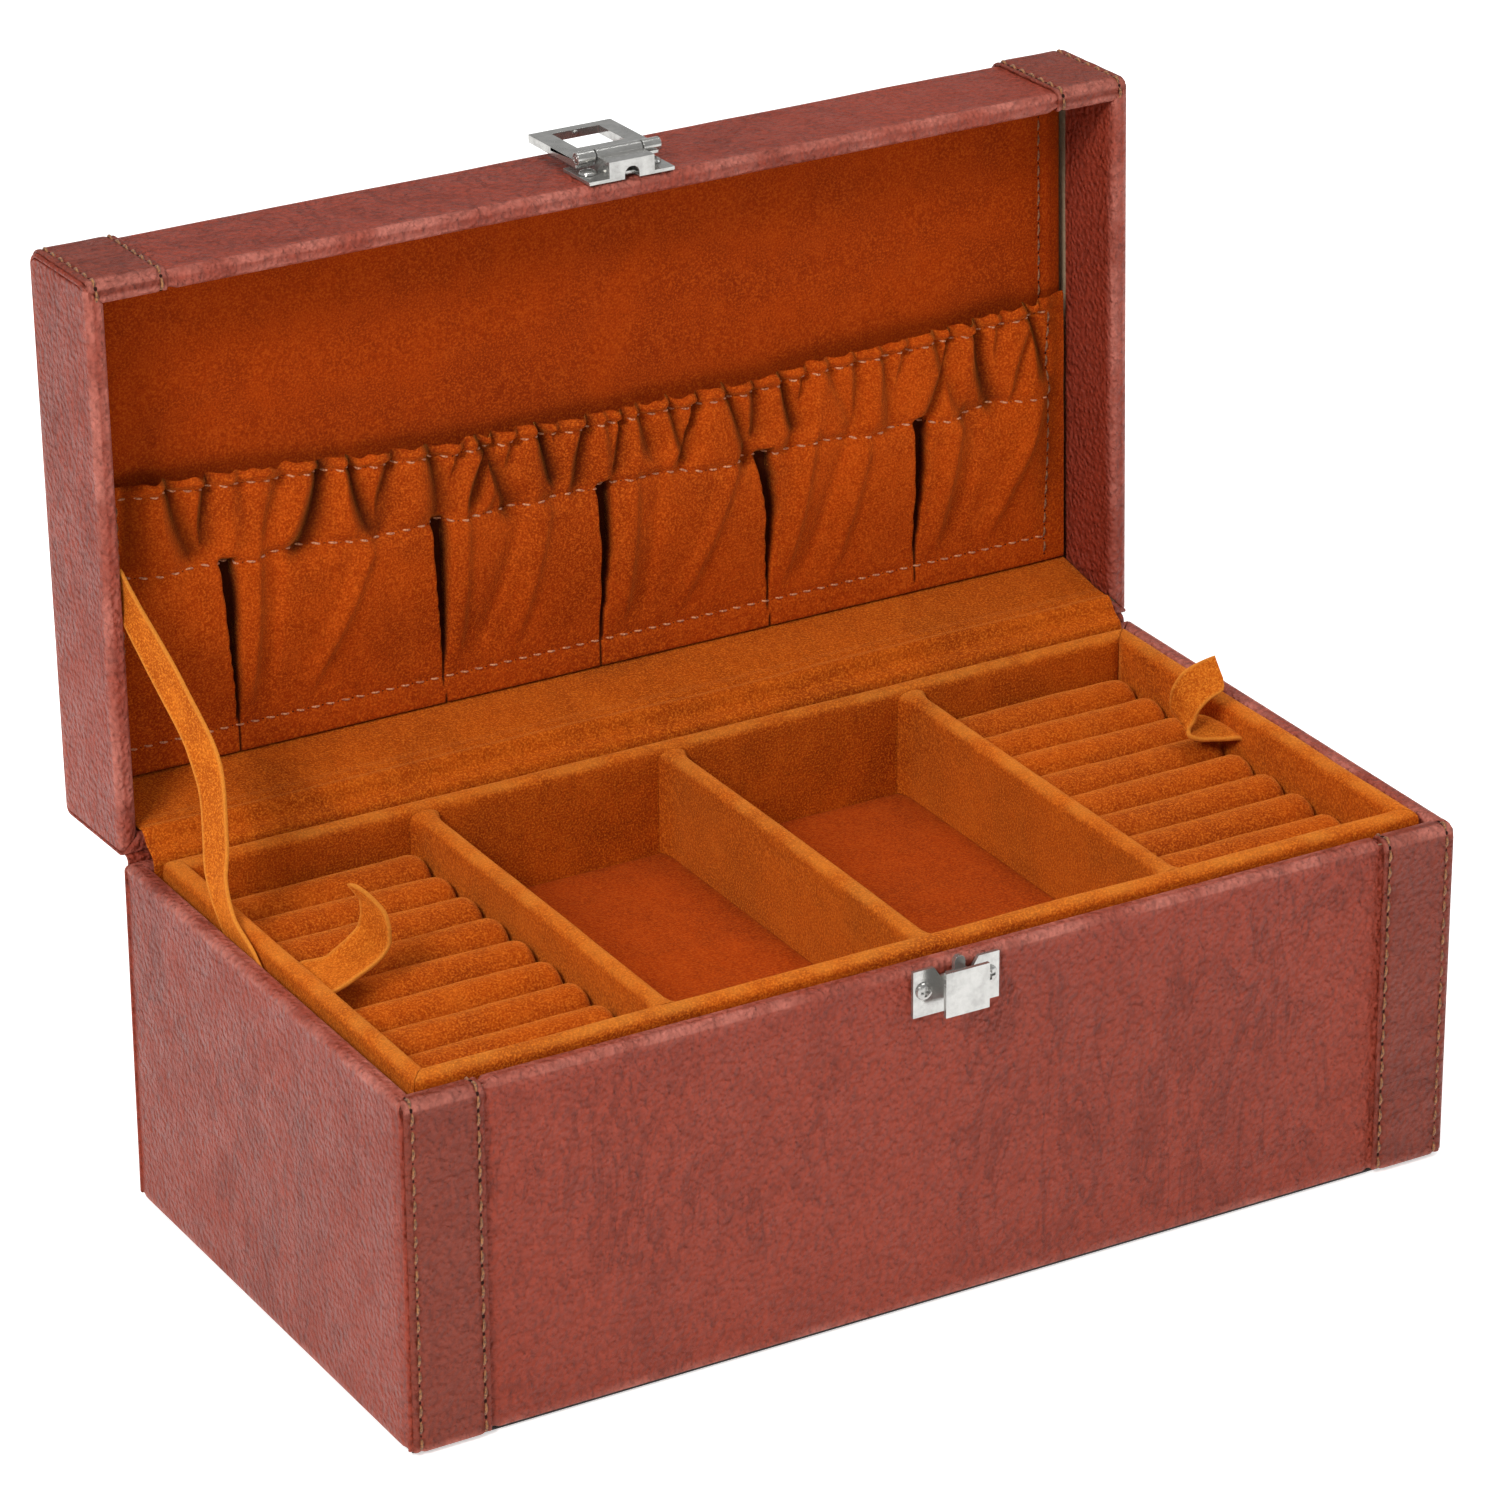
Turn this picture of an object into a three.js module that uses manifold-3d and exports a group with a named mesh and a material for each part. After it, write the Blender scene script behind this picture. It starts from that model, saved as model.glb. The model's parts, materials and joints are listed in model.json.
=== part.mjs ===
// A leather-covered jewellery case: a board box and lid, a lift-out velvet tray with ring rolls,
// a gathered pocket in the lid and a metal loop clasp. Millimetres, +Z up, +X to the right,
// -Y to the front. The origin is the centre of the felt underside. The case is modelled open.
import * as THREE from 'three';
import { mergeVertices } from 'three/addons/utils/BufferGeometryUtils.js';
import Module from 'manifold-3d';

const wasm = await Module();
wasm.setup();

// ---- Case ----
const caseWidth = 300;
const caseDepth = 152; // over the leather bands at the front and the spine at the back
const baseHeight = 95; // felt underside to the base rim
const lidHeight = 33;
const lidOpenAngle = 91.7; // degrees from closed
const rimGap = 0.6; // between the two rims when the lid is shut
const fitGap = 0.2; // between pieces that are glued or rest on each other

// ---- Sheet stock ----
const feltThickness = 1.2;
const feltInset = 1.5;
const leatherThickness = 1;
const boardThickness = 2.6;
const bandThickness = 0.6;
const bandWidth = 22;
const turnIn = 8; // leather folded over the rim and down the inside of the base
const spineThickness = 0.8;
const spineReach = 12; // glued length of the spine on the base and on the lid

// ---- Base interior ----
const linerFloor = 2;
const ledgeWidth = 3.6; // shelf inside the liner that carries the tray

// ---- Tray ----
const trayClearanceX = 2;
const trayFront = 0.8; // gap from the base wall to the tray front
const trayBack = 3.2; // gap behind the tray, where the hinge strip runs down
const trayProud = 2.6; // tray top above the base rim
const trayHeight = 33;
const trayWall = 5.4;
const trayFloor = 3;
const dividerThickness = 6;
const dividerPitch = 72.2;
const dividerDrop = 1.6; // divider top below the tray top
const rollsPerSide = 9;
const rollGap = 0.5;
const rollDrop = 9.5; // roll crest below the tray top
const rollEndGap = 0.8;
const rollEndRound = 3;
const tabWidth = 14;
const tabThickness = 1.1;
const tabCentreY = { left: -4, right: 7.5 };
const tabReach = 21; // how far the tab lies out over the rolls before it curls up
const tabCurl = 26; // height of the curled end above the rolls
const tabRise = 1.2; // clearance of the tab over the roll crests

// ---- Lid interior ----
const panelDepth = 23.5; // rim to the face of the padded panel
const panelThickness = 5;
const pocketBottom = 5; // above the inner face of the lid's hinge wall
const pocketTop = 80;
const pocketBulge = 9; // front of the pocket above the padded panel
const pocketSheet = 1.2;
const pocketSeam = 5; // width of the sewn edge at each side and along the bottom
const pocketSideGap = 1.4;
const elasticDrop = 3; // elastic below the pocket's mouth
const elasticWidth = 5;
const elasticThickness = 0.6;

// ---- Flexible strips ----
const stripThickness = 0.8;
const stripSideGap = 1;
const stripTail = 20; // length tucked down behind the tray
const stayWidth = 10;
const stayThickness = 0.8;

// ---- Clasp ----
const claspCentre = 1.2; // x of the clasp's centre line
const plateThickness = 1;
const wingWidth = 24.5;
const keeperTopDrop = 0.8; // keeper plate's top edge below the base rim
const wingHeight = 12.5;
const notchWidth = 12.3;
const notchDepth = 2.8;
const notchSlope = 1.6;
const catchWidth = 12.4;
const catchHeight = 12;
const catchDrop = 0.4; // catch plate's top edge below the base rim
const catchProud = 5.5; // back of the catch plate above the leather
const catchThickness = 1.1;
const stemWidth = 6;
const stemHeight = 7;
const postWidth = 3;
const postThickness = 1.4;
const postProud = 1.4; // back of the aligning post above the leather
const postRise = 1.5; // post's tip above the base rim
const bracketLength = 14;
const bracketDrop = 0.3; // bracket's lower edge above the lid rim
const housingWidth = 13;
const housingHeight = 5.4;
const housingWall = 1;
const archClearance = 0.6;
const pinAboveRim = 8;
const pinProud = 5.3; // pin centre above the leather
const pinRadius = 0.9;
const pinClearance = 0.15;
const barrelRadius = 1.7; // the knuckles round the pin
const loopWidth = 24;
const loopThickness = 2.3;
const loopOffset = 0.3; // the loop's flat face from the pin's centre, so that it clears the housing
const loopBar = 3;
const loopClearance = 0.6;
const loopArmGap = 0.4;
const nearBarStart = 3; // from the pin to the loop's near bar
const nubRadius = 0.6;
const nubReach = 0.7;
const screwHeadRadius = 2.35;
const screwHeadHeight = 1;
const screwShankRadius = 1.2;
const screwLength = leatherThickness + fitGap + boardThickness; // through to the board's inner face
const screwHoleClearance = 0.2;
const screwInset = 3; // screw centre from the end of the wing
const screwRise = 0.7; // keeper screws above the middle of the plate
const slotWidth = 0.7;
const slotLength = 2.6;
const slotDepth = 0.6;

// ---- Planes that the pieces share ----
const halfWidth = caseWidth / 2;
const halfDepth = caseDepth / 2;
const skinY = halfDepth - bandThickness - fitGap; // outer face of the front and back leather
const wall = 2 * leatherThickness + boardThickness + 2 * fitGap;
const innerX = halfWidth - wall;
const innerY = skinY - wall;
const boardOuterX = halfWidth - leatherThickness - fitGap;
const boardOuterY = skinY - leatherThickness - fitGap;
const boardInnerX = boardOuterX - boardThickness;
const boardInnerY = boardOuterY - boardThickness;
const linedX = innerX + leatherThickness;
const linedY = innerY + leatherThickness;
const baseBottom = feltThickness + fitGap;
const frontSkin = -skinY;
const hinge = new THREE.Vector3(0, halfDepth, baseHeight + rimGap / 2);
const openRadians = THREE.MathUtils.degToRad(lidOpenAngle);

// ---- Materials ----
const material = (color, roughness, metalness = 0) =>
  new THREE.MeshStandardMaterial({ color, roughness, metalness });
const leather = material(0x8e3f35, 0.45);
const leatherBand = material(0x86392f, 0.5);
const board = material(0xa88a63, 0.9);
const felt = material(0x17120f, 1);
const velvet = material(0xa5450c, 0.95);
const velvetDark = material(0x8c350a, 0.95);
const velvetRoll = material(0x9c4210, 0.95);
const elastic = material(0xd9cfc0, 0.9);
const chrome = material(0xc9c9cc, 0.2, 1);

// ---- Geometry helpers ----
const axisX = new THREE.Vector3(1, 0, 0);
const axisY = new THREE.Vector3(0, 1, 0);
const axisZ = new THREE.Vector3(0, 0, 1);

function block(x0, x1, y0, y1, z0, z1) {
  const geometry = new THREE.BoxGeometry(x1 - x0, y1 - y0, z1 - z0);
  return geometry.translate((x0 + x1) / 2, (y0 + y1) / 2, (z0 + z1) / 2);
}

function outline(points) {
  return new THREE.Shape(points.map(([a, b]) => new THREE.Vector2(a, b)));
}

function extrudeAlong(shape, from, to, basis, bevel = {}) {
  const options = { depth: to - from, bevelEnabled: false, curveSegments: 8, ...bevel };
  const geometry = new THREE.ExtrudeGeometry(shape, options);
  geometry.translate(0, 0, from);
  return geometry.applyMatrix4(new THREE.Matrix4().makeBasis(...basis));
}

// The shape's axes become Y and Z, and it runs along X.
function alongX(shape, from, to, bevel) {
  return extrudeAlong(shape, from, to, [axisY, axisZ, axisX], bevel);
}

// The shape's axes become Z and X, and it runs along Y.
function alongY(shape, from, to) {
  return extrudeAlong(shape, from, to, [axisZ, axisX, axisY]);
}

function alongZ(shape, from, to) {
  return extrudeAlong(shape, from, to, [axisX, axisY, axisZ]);
}

function rodAlongX(radius, x0, x1, y, z, sides = 20) {
  const geometry = new THREE.CylinderGeometry(radius, radius, x1 - x0, sides);
  return geometry.rotateZ(Math.PI / 2).translate((x0 + x1) / 2, y, z);
}

function rodAlongY(radius, y0, y1, x, z, sides = 20) {
  const geometry = new THREE.CylinderGeometry(radius, radius, y1 - y0, sides);
  return geometry.translate(x, (y0 + y1) / 2, z);
}

function solid(geometry) {
  const bare = new THREE.BufferGeometry();
  bare.setAttribute('position', geometry.getAttribute('position').clone());
  if (geometry.index) bare.setIndex(geometry.index.clone());
  const merged = mergeVertices(bare, 1e-5);
  const vertProperties = Float32Array.from(merged.getAttribute('position').array);
  const triVerts = Uint32Array.from(merged.index.array);
  return new wasm.Manifold(new wasm.Mesh({ numProp: 3, vertProperties, triVerts }));
}

function shell(body) {
  const mesh = body.getMesh();
  const geometry = new THREE.BufferGeometry();
  geometry.setAttribute('position', new THREE.BufferAttribute(mesh.vertProperties, 3));
  geometry.setIndex(new THREE.BufferAttribute(mesh.triVerts, 1));
  return geometry;
}

const join = (...geometries) => shell(geometries.map(solid).reduce((a, b) => a.add(b)));
const cut = (geometry, ...tools) =>
  shell(tools.map(solid).reduce((a, b) => a.subtract(b), solid(geometry)));

function place(group, name, geometry, finish) {
  geometry.computeVertexNormals();
  const mesh = new THREE.Mesh(geometry, finish);
  mesh.name = name;
  group.add(mesh);
  return mesh;
}

// A closed strip with a rectangular section: centre points, the width's direction at each, and sizes.
function strap(points, widthDirections, width, thickness) {
  const curve = new THREE.CatmullRomCurve3(points);
  const steps = points.length * 3;
  const directions = new THREE.CatmullRomCurve3(widthDirections);
  const positions = [];
  const indices = [];
  for (let i = 0; i <= steps; i += 1) {
    const t = i / steps;
    const centre = curve.getPoint(t);
    const along = curve.getTangent(t);
    const across = directions.getPoint(t).projectOnPlane(along).normalize();
    const normal = new THREE.Vector3().crossVectors(along, across);
    for (const [a, b] of [[-1, -1], [1, -1], [1, 1], [-1, 1]]) {
      const corner = centre.clone();
      corner.addScaledVector(across, (a * width) / 2);
      corner.addScaledVector(normal, (b * thickness) / 2);
      positions.push(corner.x, corner.y, corner.z);
    }
    if (i === 0) continue;
    for (let side = 0; side < 4; side += 1) {
      const next = (side + 1) % 4;
      const low = 4 * (i - 1);
      const high = 4 * i;
      indices.push(low + side, low + next, high + next);
      indices.push(low + side, high + next, high + side);
    }
  }
  const last = 4 * steps;
  indices.push(0, 2, 1, 0, 3, 2);
  indices.push(last, last + 1, last + 2, last, last + 2, last + 3);
  const geometry = new THREE.BufferGeometry();
  geometry.setAttribute('position', new THREE.Float32BufferAttribute(positions, 3));
  geometry.setIndex(indices);
  return geometry;
}

// A flat sheet bent into a polyline in the YZ plane, as an outline of its two faces.
function bentSheet(points, thickness) {
  const sides = [[], []];
  points.forEach(([y, z], i) => {
    const here = new THREE.Vector2(y, z);
    const before = i > 0 ? new THREE.Vector2(...points[i - 1]) : null;
    const after = i < points.length - 1 ? new THREE.Vector2(...points[i + 1]) : null;
    const directions = [];
    if (before) directions.push(here.clone().sub(before).normalize());
    if (after) directions.push(after.clone().sub(here).normalize());
    const mean = directions.reduce((a, b) => a.clone().add(b)).normalize();
    const stretch = 1 / mean.dot(directions[0]);
    const normal = new THREE.Vector2(-mean.y, mean.x).multiplyScalar((stretch * thickness) / 2);
    sides[0].push([here.x + normal.x, here.y + normal.y]);
    sides[1].unshift([here.x - normal.x, here.y - normal.y]);
  });
  return outline([...sides[0], ...sides[1]]);
}

// ---- Screws ----
// A screw lies along Y with its head towards -Y. `face` is the plane that its head rests on.
function screwCutter(x, z, face) {
  return rodAlongY(screwShankRadius + screwHoleClearance, face - 4, face + screwLength + 1, x, z, 16);
}

function screw(x, z, leatherFace) {
  const seat = leatherFace - fitGap - plateThickness - fitGap / 2;
  const top = seat - screwHeadHeight;
  const profile = [
    new THREE.Vector2(0, 0),
    new THREE.Vector2(screwHeadRadius, 0),
    new THREE.Vector2(screwHeadRadius * 0.9, screwHeadHeight * 0.55),
    new THREE.Vector2(screwHeadRadius * 0.6, screwHeadHeight * 0.9),
    new THREE.Vector2(0, screwHeadHeight),
  ];
  const head = new THREE.LatheGeometry(profile, 20).rotateX(Math.PI).translate(x, seat, z);
  const tip = leatherFace + screwLength;
  const shank = rodAlongY(screwShankRadius, seat - screwHeadHeight / 2, tip, x, z, 14);
  const half = slotLength / 2;
  const thin = slotWidth / 2;
  const slots = [
    block(x - half, x + half, top - 1, top + slotDepth, z - thin, z + thin),
    block(x - thin, x + thin, top - 1, top + slotDepth, z - half, z + half),
  ];
  return cut(join(head, shank), ...slots);
}

const wingEnd = wingWidth / 2;
const screwX = {
  left: claspCentre - wingEnd + screwInset,
  right: claspCentre + wingEnd - screwInset,
};
const keeperTop = baseHeight - keeperTopDrop;
const keeperScrewZ = keeperTop - wingHeight / 2 + screwRise;

// ---- Base ----
const base = new THREE.Group();

place(
  base,
  'base_felt',
  block(
    -halfWidth + feltInset,
    halfWidth - feltInset,
    -skinY + feltInset,
    skinY - feltInset,
    0,
    feltThickness,
  ),
  felt,
);

const boardTop = baseHeight - leatherThickness - fitGap;
const keeperScrewCutters = Object.values(screwX).map((x) => screwCutter(x, keeperScrewZ, frontSkin));
place(
  base,
  'base_carcass',
  cut(
    block(-boardOuterX, boardOuterX, -boardOuterY, boardOuterY, baseBottom, boardTop),
    block(-boardInnerX, boardInnerX, -boardInnerY, boardInnerY, 0, baseHeight),
    ...keeperScrewCutters,
  ),
  board,
);

const bottomBoardTop = baseBottom + boardThickness;
place(
  base,
  'base_bottom_board',
  block(
    -boardInnerX + fitGap,
    boardInnerX - fitGap,
    -boardInnerY + fitGap,
    boardInnerY - fitGap,
    baseBottom,
    bottomBoardTop,
  ),
  board,
);

// The liner is a velvet-covered inner box: thick up to the shelf that carries the tray, thin above.
const trayTop = baseHeight + trayProud;
const trayBottom = trayTop - trayHeight;
const ledgeTop = trayBottom - fitGap;
const linerBottom = bottomBoardTop + fitGap;
const linerTop = baseHeight - turnIn - fitGap;
place(
  base,
  'base_liner',
  cut(
    block(-linedX, linedX, -linedY, linedY, linerBottom, linerTop),
    block(-innerX, innerX, -innerY, innerY, ledgeTop, baseHeight),
    block(
      -innerX + ledgeWidth,
      innerX - ledgeWidth,
      -innerY + ledgeWidth,
      innerY - ledgeWidth,
      linerBottom + linerFloor,
      baseHeight,
    ),
  ),
  velvetDark,
);

// Leather: an outer sheet, a fold over the rim and a turned-in edge down the inside.
// `side` is -1 at the front and 1 at the back; the sheet lies in the XZ plane.
function longWallLeather(side, low, rim, inside, direction) {
  const outer = side * skinY;
  const inner = side * innerY;
  const span = (a, b) => [Math.min(a, b), Math.max(a, b)];
  const edge = (from, length) => span(from, from + direction * length);
  const sheet = block(
    -halfWidth,
    halfWidth,
    ...span(outer, outer - side * leatherThickness),
    ...span(low, rim),
  );
  const fold = block(-halfWidth, halfWidth, ...span(outer, inner), ...edge(rim, -leatherThickness));
  const lip = block(
    -linedX,
    linedX,
    ...span(inner, inner + side * leatherThickness),
    ...edge(rim, -inside),
  );
  return join(sheet, fold, lip);
}

// `side` is -1 at the left and 1 at the right; the sheet lies in the YZ plane, between the long walls.
function endWallLeather(side, low, rim, inside, direction) {
  const outer = side * halfWidth;
  const inner = side * innerX;
  const span = (a, b) => [Math.min(a, b), Math.max(a, b)];
  const edge = (from, length) => span(from, from + direction * length);
  const between = skinY - leatherThickness - fitGap;
  const sheet = block(
    ...span(outer, outer - side * leatherThickness),
    -between,
    between,
    ...span(low, rim - direction * (leatherThickness + fitGap)),
  );
  const reach = innerY - fitGap;
  const fold = block(...span(outer, inner), -reach, reach, ...edge(rim, -leatherThickness));
  const riser = block(
    ...span(outer, outer - side * leatherThickness),
    -reach,
    reach,
    ...edge(rim, -2 * leatherThickness),
  );
  const lip = block(
    ...span(inner, inner + side * leatherThickness),
    -reach,
    reach,
    ...edge(rim, -inside),
  );
  return join(sheet, riser, fold, lip);
}

place(
  base,
  'base_leather_front',
  cut(longWallLeather(-1, baseBottom, baseHeight, turnIn, 1), ...keeperScrewCutters),
  leather,
);
place(base, 'base_leather_back', longWallLeather(1, baseBottom, baseHeight, turnIn, 1), leather);
place(base, 'base_leather_left', endWallLeather(-1, baseBottom, baseHeight, turnIn, 1), leather);
place(base, 'base_leather_right', endWallLeather(1, baseBottom, baseHeight, turnIn, 1), leather);

const ends = { left: -1, right: 1 };
const bandSpan = (side) =>
  side < 0 ? [-halfWidth, bandWidth - halfWidth] : [halfWidth - bandWidth, halfWidth];
for (const [name, side] of Object.entries(ends)) {
  const bandBack = frontSkin - fitGap;
  const strip = block(...bandSpan(side), bandBack - bandThickness, bandBack, baseBottom, baseHeight);
  place(base, `base_band_${name}`, strip, leatherBand);
}

// ---- Keeper: a screwed plate with a raised catch plate and an aligning post ----
const plateBack = frontSkin - fitGap;
const plateFront = plateBack - plateThickness;
const catchBack = frontSkin - catchProud;
const catchFront = catchBack - catchThickness;
const catchTop = baseHeight - catchDrop;
const catchMiddle = catchTop - catchHeight / 2;
const postBack = frontSkin - postProud;
const postTip = baseHeight + postRise;

const notch = outline([
  [keeperTop - notchDepth, claspCentre - notchWidth / 2 + notchSlope],
  [keeperTop - notchDepth, claspCentre + notchWidth / 2 - notchSlope],
  [keeperTop + 1, claspCentre + notchWidth / 2 + notchSlope / 2],
  [keeperTop + 1, claspCentre - notchWidth / 2 - notchSlope / 2],
]);

function roundedPost() {
  const half = postWidth / 2;
  const shape = new THREE.Shape();
  shape.moveTo(catchMiddle - stemHeight / 2 + 1, claspCentre - half);
  shape.lineTo(postTip - half, claspCentre - half);
  shape.absarc(postTip - half, claspCentre, half, -Math.PI / 2, Math.PI / 2, false);
  shape.lineTo(catchMiddle - stemHeight / 2 + 1, claspCentre + half);
  return alongY(shape, postBack - postThickness, postBack);
}

place(
  base,
  'keeper_plate',
  cut(
    join(
      cut(
        block(
          claspCentre - wingEnd,
          claspCentre + wingEnd,
          plateFront,
          plateBack,
          keeperTop - wingHeight,
          keeperTop,
        ),
        alongY(notch, plateFront - 1, plateBack + 1),
      ),
      block(
        claspCentre - stemWidth / 2,
        claspCentre + stemWidth / 2,
        catchBack - catchThickness / 2,
        plateBack - plateThickness / 2,
        catchMiddle - stemHeight / 2,
        catchMiddle + stemHeight / 2,
      ),
      roundedPost(),
      block(
        claspCentre - catchWidth / 2,
        claspCentre + catchWidth / 2,
        catchFront,
        catchBack,
        catchTop - catchHeight,
        catchTop,
      ),
    ),
    ...keeperScrewCutters,
  ),
  chrome,
);
for (const [name, x] of Object.entries(screwX)) {
  place(base, `keeper_screw_${name}`, screw(x, keeperScrewZ, frontSkin), chrome);
}

// ---- Tray ----
const tray = new THREE.Group();
const trayX = innerX - trayClearanceX;
const trayY0 = -innerY + trayFront;
const trayY1 = innerY - trayBack;
const sectionX = trayX - trayWall;
const sectionY0 = trayY0 + trayWall;
const sectionY1 = trayY1 - trayWall;
const trayFloorTop = trayBottom + trayFloor;

// Walls meet in mitres. Each outline runs outer corners first, then inner corners.
const mitre = fitGap / 2;
const trayWalls = {
  front: [
    [-trayX + mitre, trayY0],
    [trayX - mitre, trayY0],
    [sectionX - mitre, sectionY0],
    [-sectionX + mitre, sectionY0],
  ],
  back: [
    [trayX - mitre, trayY1],
    [-trayX + mitre, trayY1],
    [-sectionX + mitre, sectionY1],
    [sectionX - mitre, sectionY1],
  ],
  left: [
    [-trayX, trayY1 - mitre],
    [-trayX, trayY0 + mitre],
    [-sectionX, sectionY0 + mitre],
    [-sectionX, sectionY1 - mitre],
  ],
  right: [
    [trayX, trayY0 + mitre],
    [trayX, trayY1 - mitre],
    [sectionX, sectionY1 - mitre],
    [sectionX, sectionY0 + mitre],
  ],
};
for (const [name, points] of Object.entries(trayWalls)) {
  place(tray, `tray_wall_${name}`, alongZ(outline(points), trayBottom, trayTop), velvet);
}
place(
  tray,
  'tray_floor',
  block(
    -sectionX + fitGap,
    sectionX - fitGap,
    sectionY0 + fitGap,
    sectionY1 - fitGap,
    trayBottom,
    trayFloorTop,
  ),
  velvetDark,
);

const dividers = { left: -1, centre: 0, right: 1 };
for (const [name, step] of Object.entries(dividers)) {
  const x = step * dividerPitch;
  const piece = block(
    x - dividerThickness / 2,
    x + dividerThickness / 2,
    sectionY0 + fitGap,
    sectionY1 - fitGap,
    trayFloorTop + fitGap,
    trayTop - dividerDrop,
  );
  place(tray, `tray_divider_${name}`, piece, velvet);
}

const rollPitch = (sectionY1 - sectionY0) / rollsPerSide;
const rollRadius = (rollPitch - rollGap) / 2;
const rollCrest = trayTop - rollDrop;
const rollInnerEnd = dividerPitch + dividerThickness / 2 + rollEndGap;
const rollOuterEnd = sectionX - rollEndGap;

function rollProfile(y) {
  const shape = new THREE.Shape();
  shape.moveTo(y - rollRadius, trayFloorTop + fitGap);
  shape.lineTo(y + rollRadius, trayFloorTop + fitGap);
  shape.lineTo(y + rollRadius, rollCrest - rollRadius);
  shape.absarc(y, rollCrest - rollRadius, rollRadius, 0, Math.PI, false);
  return shape;
}

const roundEnds = {
  bevelEnabled: true,
  bevelThickness: rollEndRound,
  bevelSize: rollEndRound,
  bevelOffset: -rollEndRound,
  bevelSegments: 2,
  curveSegments: 7,
};
for (const [name, side] of Object.entries(ends)) {
  const span = side < 0 ? [-rollOuterEnd, -rollInnerEnd] : [rollInnerEnd, rollOuterEnd];
  for (let i = 0; i < rollsPerSide; i += 1) {
    const profile = rollProfile(sectionY0 + rollPitch * (i + 0.5));
    const geometry = alongX(profile, span[0] + rollEndRound, span[1] - rollEndRound, roundEnds);
    place(tray, `ring_roll_${name}_${i + 1}`, geometry, velvetRoll);
  }
}

// Each pull tab starts at the tray's end wall, lies over the rolls and curls up and back.
for (const [name, side] of Object.entries(ends)) {
  const y = tabCentreY[name];
  const z = rollCrest + tabRise + tabThickness / 2;
  const start = sectionX - fitGap;
  const path = [
    [start, z],
    [start - tabReach * 0.5, z + 0.3],
    [start - tabReach * 0.85, z + tabCurl * 0.12],
    [start - tabReach, z + tabCurl * 0.42],
    [start - tabReach * 0.85, z + tabCurl * 0.72],
    [start - tabReach * 0.5, z + tabCurl],
  ];
  const points = path.map(([x, height]) => new THREE.Vector3(side * x, y, height));
  const across = points.map(() => axisY.clone().multiplyScalar(side));
  place(tray, `pull_tab_${name}`, strap(points, across, tabWidth, tabThickness), velvet);
}

// ---- Lid ----
// Modelled shut, about the hinge axis, then turned open. `rim` is the lid's lower edge.
const lid = new THREE.Group();
lid.position.copy(hinge);
lid.rotation.x = -openRadians;
const rim = rimGap / 2;
const lidTop = rim + lidHeight;
const middle = -halfDepth; // the case's centre line, seen from the hinge
const lidShift = (geometry) => geometry.translate(0, middle, 0);
const lidBoardLow = rim + leatherThickness + fitGap;
const lidBoardHigh = lidTop - leatherThickness - fitGap;
const lidFront = middle - skinY;
const lidScrewZ = rim + bracketDrop + bracketLength / 2 - 0.5;
const lidScrewCutters = Object.values(screwX).map((x) => screwCutter(x, lidScrewZ, lidFront));

place(
  lid,
  'lid_carcass',
  cut(
    lidShift(
      block(-boardOuterX, boardOuterX, -boardOuterY, boardOuterY, lidBoardLow, lidBoardHigh),
    ),
    lidShift(block(-boardInnerX, boardInnerX, -boardInnerY, boardInnerY, 0, lidTop)),
    ...lidScrewCutters,
  ),
  board,
);
place(
  lid,
  'lid_top_board',
  lidShift(
    block(
      -boardInnerX + fitGap,
      boardInnerX - fitGap,
      -boardInnerY + fitGap,
      boardInnerY - fitGap,
      lidBoardHigh - boardThickness,
      lidBoardHigh,
    ),
  ),
  board,
);

const lidLining = panelDepth + panelThickness - fitGap;
const lidSkin = join(
  longWallLeather(-1, lidTop, rim, lidLining, -1),
  longWallLeather(1, lidTop, rim, lidLining, -1),
  block(-halfWidth, halfWidth, -skinY, skinY, lidTop - leatherThickness, lidTop),
);
place(lid, 'lid_leather_cover', cut(lidShift(lidSkin), ...lidScrewCutters), leather);
for (const [name, side] of Object.entries(ends)) {
  const high = lidTop - leatherThickness - fitGap;
  place(lid, `lid_leather_${name}`, lidShift(endWallLeather(side, high, rim, lidLining, -1)), leather);
}

// Each band runs up the lid's front and over its top, flush with the spine's edge at the back.
for (const [name, side] of Object.entries(ends)) {
  const face = skinY + fitGap;
  const crown = lidTop + fitGap;
  const strip = join(
    block(...bandSpan(side), -face - bandThickness, -face, rim, crown + bandThickness),
    block(...bandSpan(side), -face - bandThickness, skinY, crown, crown + bandThickness),
  );
  place(lid, `lid_band_${name}`, lidShift(strip), leatherBand);
}

const panelX = innerX - fitGap;
const panelY = innerY - fitGap;
const panelFace = rim + panelDepth;
place(
  lid,
  'lid_panel',
  lidShift(block(-panelX, panelX, -panelY, panelY, panelFace, panelFace + panelThickness)),
  velvet,
);

// The pocket is a sheet held off the panel, sewn down at its sides and bottom and open at its top.
const pocketX = panelX - pocketSideGap;
const pocketHingeEdge = innerY - pocketBottom;
const pocketMouth = innerY - pocketTop;
const pocketBack = panelFace - fitGap;
const pocketFront = panelFace - pocketBulge;
place(
  lid,
  'lid_pocket',
  lidShift(
    cut(
      block(-pocketX, pocketX, pocketMouth, pocketHingeEdge, pocketFront, pocketBack),
      block(
        -pocketX + pocketSeam,
        pocketX - pocketSeam,
        pocketMouth - 1,
        pocketHingeEdge - pocketSeam,
        pocketFront + pocketSheet,
        pocketBack + 1,
      ),
    ),
  ),
  velvet,
);

// The elastic that gathers the mouth is sewn to the pocket's inner face.
const elasticX = pocketX - pocketSeam - fitGap;
const elasticFace = pocketFront + pocketSheet + fitGap;
place(
  lid,
  'pocket_elastic',
  lidShift(
    block(
      -elasticX,
      elasticX,
      pocketMouth + elasticDrop,
      pocketMouth + elasticDrop + elasticWidth,
      elasticFace,
      elasticFace + elasticThickness,
    ),
  ),
  elastic,
);

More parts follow.
